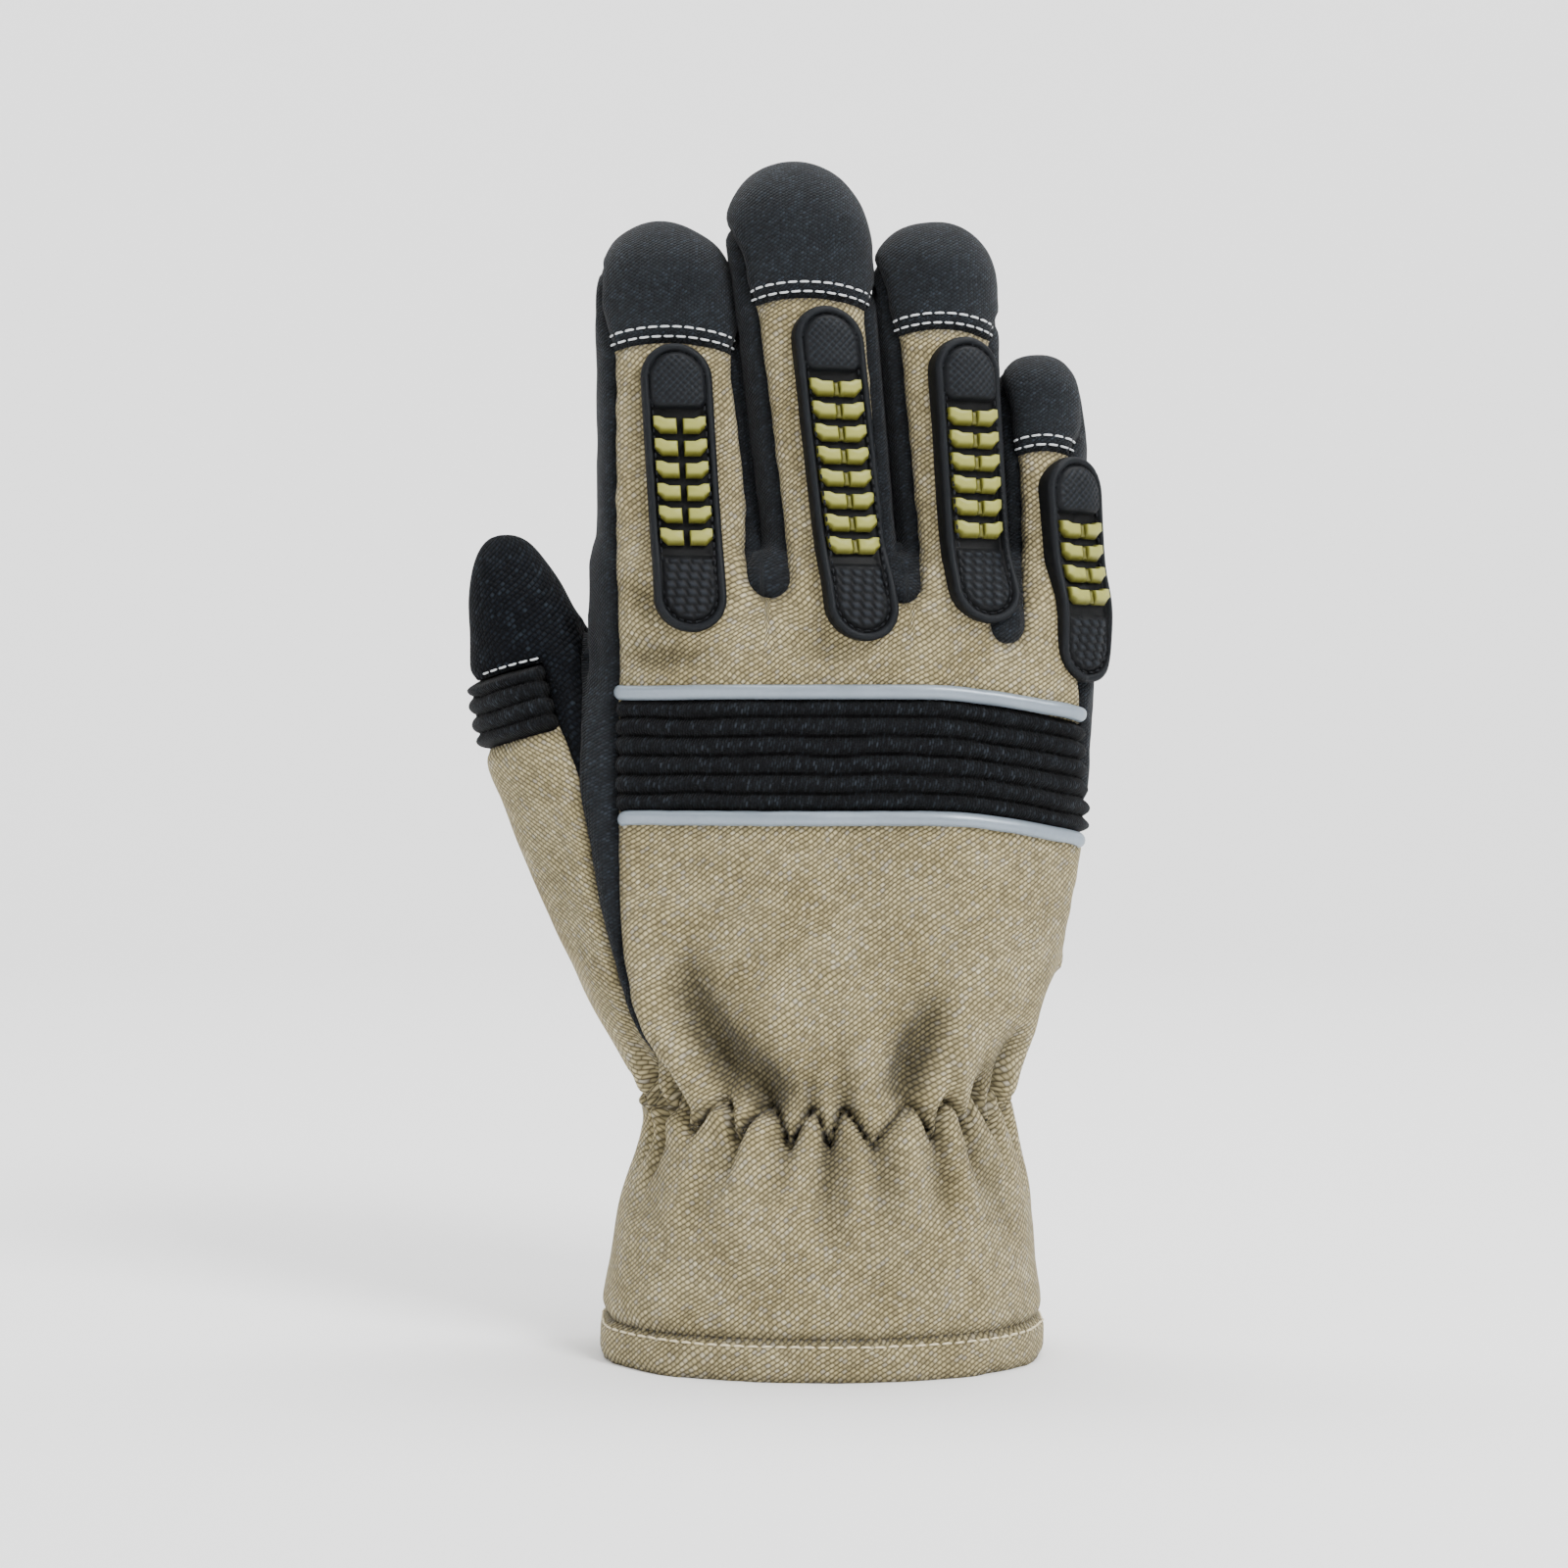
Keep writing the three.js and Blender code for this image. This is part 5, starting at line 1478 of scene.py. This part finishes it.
# Half of a chevron block: a bevelled prism whose outer end tips up and is cut away below
def blockMesh(place, side, v, bridge):
    half, groove = guard["block"] / 2, guard["groove"] / 2
    reach = guard["width"] / 2 - guard["rim"] - 0.25
    corners = np.array([
        (groove, half), (3.3, half), (4.7, half + 0.6), (reach, half + 0.6),
        (reach, -0.1), (reach - 1.7, -half), (groove, -half),
    ])
    if bridge:
        x, y = groove + 0.2, half - 0.15
        corners = np.array([(-x, y), (x, y), (x, -y), (-x, -y)])
    closed = np.concatenate([corners, corners[:1]])
    sides = [np.linspace(a, b, 4, endpoint=False) for a, b in zip(closed[:-1], closed[1:])]
    outline = np.concatenate(sides)
    middle = outline.mean(0)
    drop = 0.9 if bridge else 0.0
    top = guard["blockHeight"] - drop
    levels = ((0.9, 0.0, 0.0), (2.6 - 0.5 * drop, 0.05, 0.0), (top - 0.3, 0.2, 0.85), (top, 0.55, 1.05))
    layers = []
    size = np.abs(outline - middle)
    for height, inset, slope in levels:
        ringPoints = middle + (outline - middle) * (1 - inset / np.maximum(size.max(0), 0.5))
        if not bridge:
            ringPoints[:, 1] += slope * np.clip((middle[1] - ringPoints[:, 1]) / half, 0, 1)
        u, up = side * ringPoints[:, 0], v + ringPoints[:, 1]
        layers.append(place(u, up, np.full(len(outline), height)))
    layers.append(place(np.array([side * middle[0]]), np.array([v + middle[1]]), np.array([top])))
    count = len(outline)
    k = np.arange(count)
    nextK = (k + 1) % count
    faces = []
    for level in range(len(levels) - 1):
        a, b = level * count + k, level * count + nextK
        faces += [np.stack([a, b, b + count], 1), np.stack([a, b + count, a + count], 1)]
    last = (len(levels) - 1) * count
    faces.append(np.stack([last + k, last + nextK, np.full(count, last + count)], 1))
    faces = np.concatenate(faces)
    # lift rises from foot to top, for the painted shade down the sides
    lift = np.concatenate([np.full(count, t) for t in (0.0, 0.42, 0.82, 1.0)] + [np.array([1.0])])
    return np.concatenate(layers), faces if side < 0 else faces[:, ::-1], lift


# Stitches along a line: short threads that dip into the cloth at both ends
def dashes(path, outward, length, gap, radius, rise=0.15, sides=6):
    path, outward = np.array(path), np.array(outward)
    run = np.concatenate([[0], np.cumsum(np.linalg.norm(np.diff(path, axis=0), axis=1))])
    count = max(1, int(round(run[-1] / (length + gap))))
    pitch = run[-1] / count
    shapes = []
    for k in range(count):
        at = k * pitch + gap / 2 + np.linspace(0, pitch - gap, 7)
        points = np.stack([np.interp(at, run, path[:, axis]) for axis in range(3)], 1)
        ways = unit(np.stack([np.interp(at, run, outward[:, axis]) for axis in range(3)], 1))
        lift = rise + radius * (np.sin(np.linspace(0, math.pi, 7)) ** 0.6 * 1.5 - 1.1)
        shapes.append(tube(points + ways * lift[:, None], ways, radius, radius, sides, 1))
    return joined(shapes)


# Drops points given as (x, z) onto the back or the palm
def surfaceRow(points, front):
    path, outward = [], []
    for x, z in points:
        place, normal = hitFrom((x, -120.0 if front else 120.0, z), (0, 1.0 if front else -1.0, 0))
        if place is not None:
            path.append(place)
            outward.append(normal)
    return smoothPath(path, 2), unit(smoothPath(outward, 4))


def shifted(line, away):
    along = unit(np.gradient(line, axis=0))
    return line + away * np.stack([-along[:, 1], along[:, 0]], 1)


print("stage: finger guards")
guardThreads = []
for i, finger in enumerate(fingers):
    place = guardBed(i)
    points, tris, lifts = guardFrameMesh(i, place)
    name = f"guard_frame_{finger['name']}"
    makePiece(name + "_moulding", points, tris, guardRubber, "black_guard", [name], lifts)
    topEnd, blocksEnd, bottom = guardPlan(i)
    shapes, lifts = [], []
    for row in range(finger["rows"]):
        # two halves, and on all but the index finger a low bridge between them
        v = topEnd - (row + 0.75) * guard["pitch"]
        for side, bridge in ((-1, False), (1, False)) + (((1, True),) if i else ()):
            p, f, lift = blockMesh(place, side, v, bridge)
            shapes.append((p, f))
            # the low bridge is painted darker, as painted shade down between the halves
            lifts.append(lift * (0.55 if bridge else 1))
    points, tris = joined(shapes)
    name = f"guard_blocks_{finger['name']}"
    lifts = {"lift": np.concatenate(lifts)}
    makePiece(name + "_moulding", points, tris, blockRubber, "yellow_block", [name], lifts)
    print(name, len(tris))
    half = guard["width"] / 2 - guard["rim"] - guard["channel"] / 2
    angle = np.linspace(0, math.pi, 24)
    top = np.stack([half * np.cos(angle), -guard["width"] / 2 + half * np.sin(angle)], 1)
    foot = np.stack([-half * np.cos(angle), bottom + guard["width"] / 2 - half * np.sin(angle)], 1)
    line = np.concatenate([top, foot, top[:1]])
    path = place(line[:, 0], line[:, 1], np.full(len(line), guard["floor"] + 0.35))
    low, high = (place(np.array([0.0]), np.array([-20.0]), np.array([z])) for z in (0.0, 1.0))
    ways = np.tile(unit(high - low), (len(path), 1))
    guardThreads.append(dashes(path, ways, 1.25, 0.75, 0.28, 0.22))
points, tris = joined(guardThreads)
makePiece("guard_stitches", points, tris, blackThread, "black_guard")

print("stage: stitches")
rows = []
for i in range(len(fingers)):
    climb = capLevel(i) + 3
    inset = 0.8 * creases[i]["strip"] * glove["fingerDepth"] if i else 3.2
    left = creaseX(creases[i], climb) + inset
    right = creaseX(creases[i + 1], climb) - (1.3 if i < 3 else 2.5)
    for up in (1.5, 3.6):
        x = np.linspace(left, right, 50)
        rows.append(surfaceRow(np.stack([x, capEdge(i, x) + up], 1), True))
rows.append(surfaceRow(spread([(-80.6, 160.2), (-73, 162.4), (-66.5, 163.8)]), True))
rows.append(surfaceRow(spread([(-90, 157.0), (-83, 159.0), (-78.5, 160.4)]), False))
for line in palmSeamLines.values():
    for away in (-1.05, 1.05):
        rows.append(surfaceRow(shifted(spread(line), away), False))


# A line round the glove, met from inside: levelOf gives the height at an angle from the back
def roundRow(levelOf, angles):
    path, outward = [], []
    for angle in angles:
        turn = math.radians(angle)
        z = levelOf(turn)
        _, wide, back, _ = single(bodySection(np.array(z)))
        target = np.array([wide * math.sin(turn), -back * math.cos(turn), 0])
        place, normal = hitFrom((0, 0, z), target)
        if place is not None:
            path.append(place)
            outward.append(normal * (1 if normal @ target > 0 else -1))
    return np.array(path), unit(smoothPath(outward, 3))


def hemLevel(turn):
    return hem["height"] - 1.5


backRow = roundRow(hemLevel, np.linspace(-137, 137, 400))
palmRow = roundRow(hemLevel, np.linspace(139, 221, 130))


def zigzagLevel(turn):
    z = glove["cuffHeight"]
    for _ in range(4):
        _, wide, back, _ = single(bodySection(np.array(z)))
        place, _ = hitFrom((0, 0, z), (wide * math.sin(turn), -back * math.cos(turn), 0))
        if place is not None:
            z = float(elasticLine(place[None])[0][0])
    return z


zigzag = roundRow(zigzagLevel, np.linspace(136, 227, 260))
points, tris = dashes(*backRow, 2.7, 0.5, 0.26)
makePiece("hem_stitches", points, tris, creamThread, "tan_cloth")
points, tris = joined([dashes(*zigzag, 2.2, 0.15, 0.24, 0.35), dashes(*palmRow, 2.7, 0.5, 0.3)])
makePiece("palm_stitches", points, tris, whiteThread, "grey_piping")
shapes = [dashes(path, ways, 2.4, 0.35, 0.26) for path, ways in rows if len(path) > 2]
points, tris = joined(shapes)
makePiece("white_stitches", points, tris, whiteThread, "grey_piping")

# Camera, light and floor
camera = {"distance": 640.0, "height": 134.0, "frameWidth": 372.0, "aside": -8.8}
lens = bpy.data.cameras.new("camera")
view = bpy.data.objects.new("camera", lens)
bpy.context.scene.collection.objects.link(view)
aside = camera["aside"] + frameShift[0]
view.location = (aside / 1000, -camera["distance"] / 1000, camera["height"] / 1000)
view.rotation_euler = (math.pi / 2, 0, 0)
lens.sensor_width = 36
lens.lens = 36 * camera["distance"] / camera["frameWidth"]
lens.clip_start, lens.clip_end = 0.01, 20
bpy.context.scene.camera = view


def areaLight(name, place, target, size, power):
    lamp = bpy.data.lights.new(name, "AREA")
    lamp.shape = "RECTANGLE"
    lamp.size, lamp.size_y = size
    lamp.energy = power
    made = bpy.data.objects.new(name, lamp)
    bpy.context.scene.collection.objects.link(made)
    made.location = place
    made.rotation_euler = (Vector(target) - Vector(place)).to_track_quat("-Z", "Y").to_euler()


areaLight("keyLight", (0.75, -0.85, 1.15), (0, 0, 0.13), (0.45, 0.45), 30)
areaLight("fillLight", (-1.0, -0.9, 0.5), (0, 0, 0.13), (0.9, 0.9), 4.5)
areaLight("topLight", (0.0, 0.1, 1.6), (0, 0, 0.1), (1.0, 1.0), 20)
areaLight("wallLight", (0.0, 0.6, 2.3), (0, 2.2, 0.5), (3.0, 0.8), 90)
world = bpy.data.worlds.new("studio")
bpy.context.scene.world = world
world.use_nodes = True
world.node_tree.nodes["Background"].inputs["Color"].default_value = (1, 1, 1, 1)
world.node_tree.nodes["Background"].inputs["Strength"].default_value = 0.1


# Round paper floor that curves up into a low wall all round
def backdrop(flat, radius, height, sides=96):
    profile = [(0.2 * flat, 0.0), (0.6 * flat, 0.0), (flat, 0.0)]
    for degrees in range(6, 91, 6):
        turn = math.radians(degrees)
        profile.append((flat + radius * math.sin(turn), radius * (1 - math.cos(turn))))
    profile.append((flat + radius, height))
    turns = [2 * math.pi * k / sides for k in range(sides)]
    points = [(r * math.cos(t), r * math.sin(t), z) for r, z in profile for t in turns]
    faces = [tuple(range(sides))]
    for row in range(len(profile) - 1):
        for k in range(sides):
            a, b = row * sides + k, row * sides + (k + 1) % sides
            faces.append((a, a + sides, b + sides, b))
    mesh = bpy.data.meshes.new("floor")
    mesh.from_pydata(points, [], faces)
    mesh.shade_smooth()
    made = bpy.data.objects.new("floor", mesh)
    bpy.context.scene.collection.objects.link(made)
    mesh.materials.append(paper())
    return made


floor = backdrop(1.5, 0.9, 1.7)
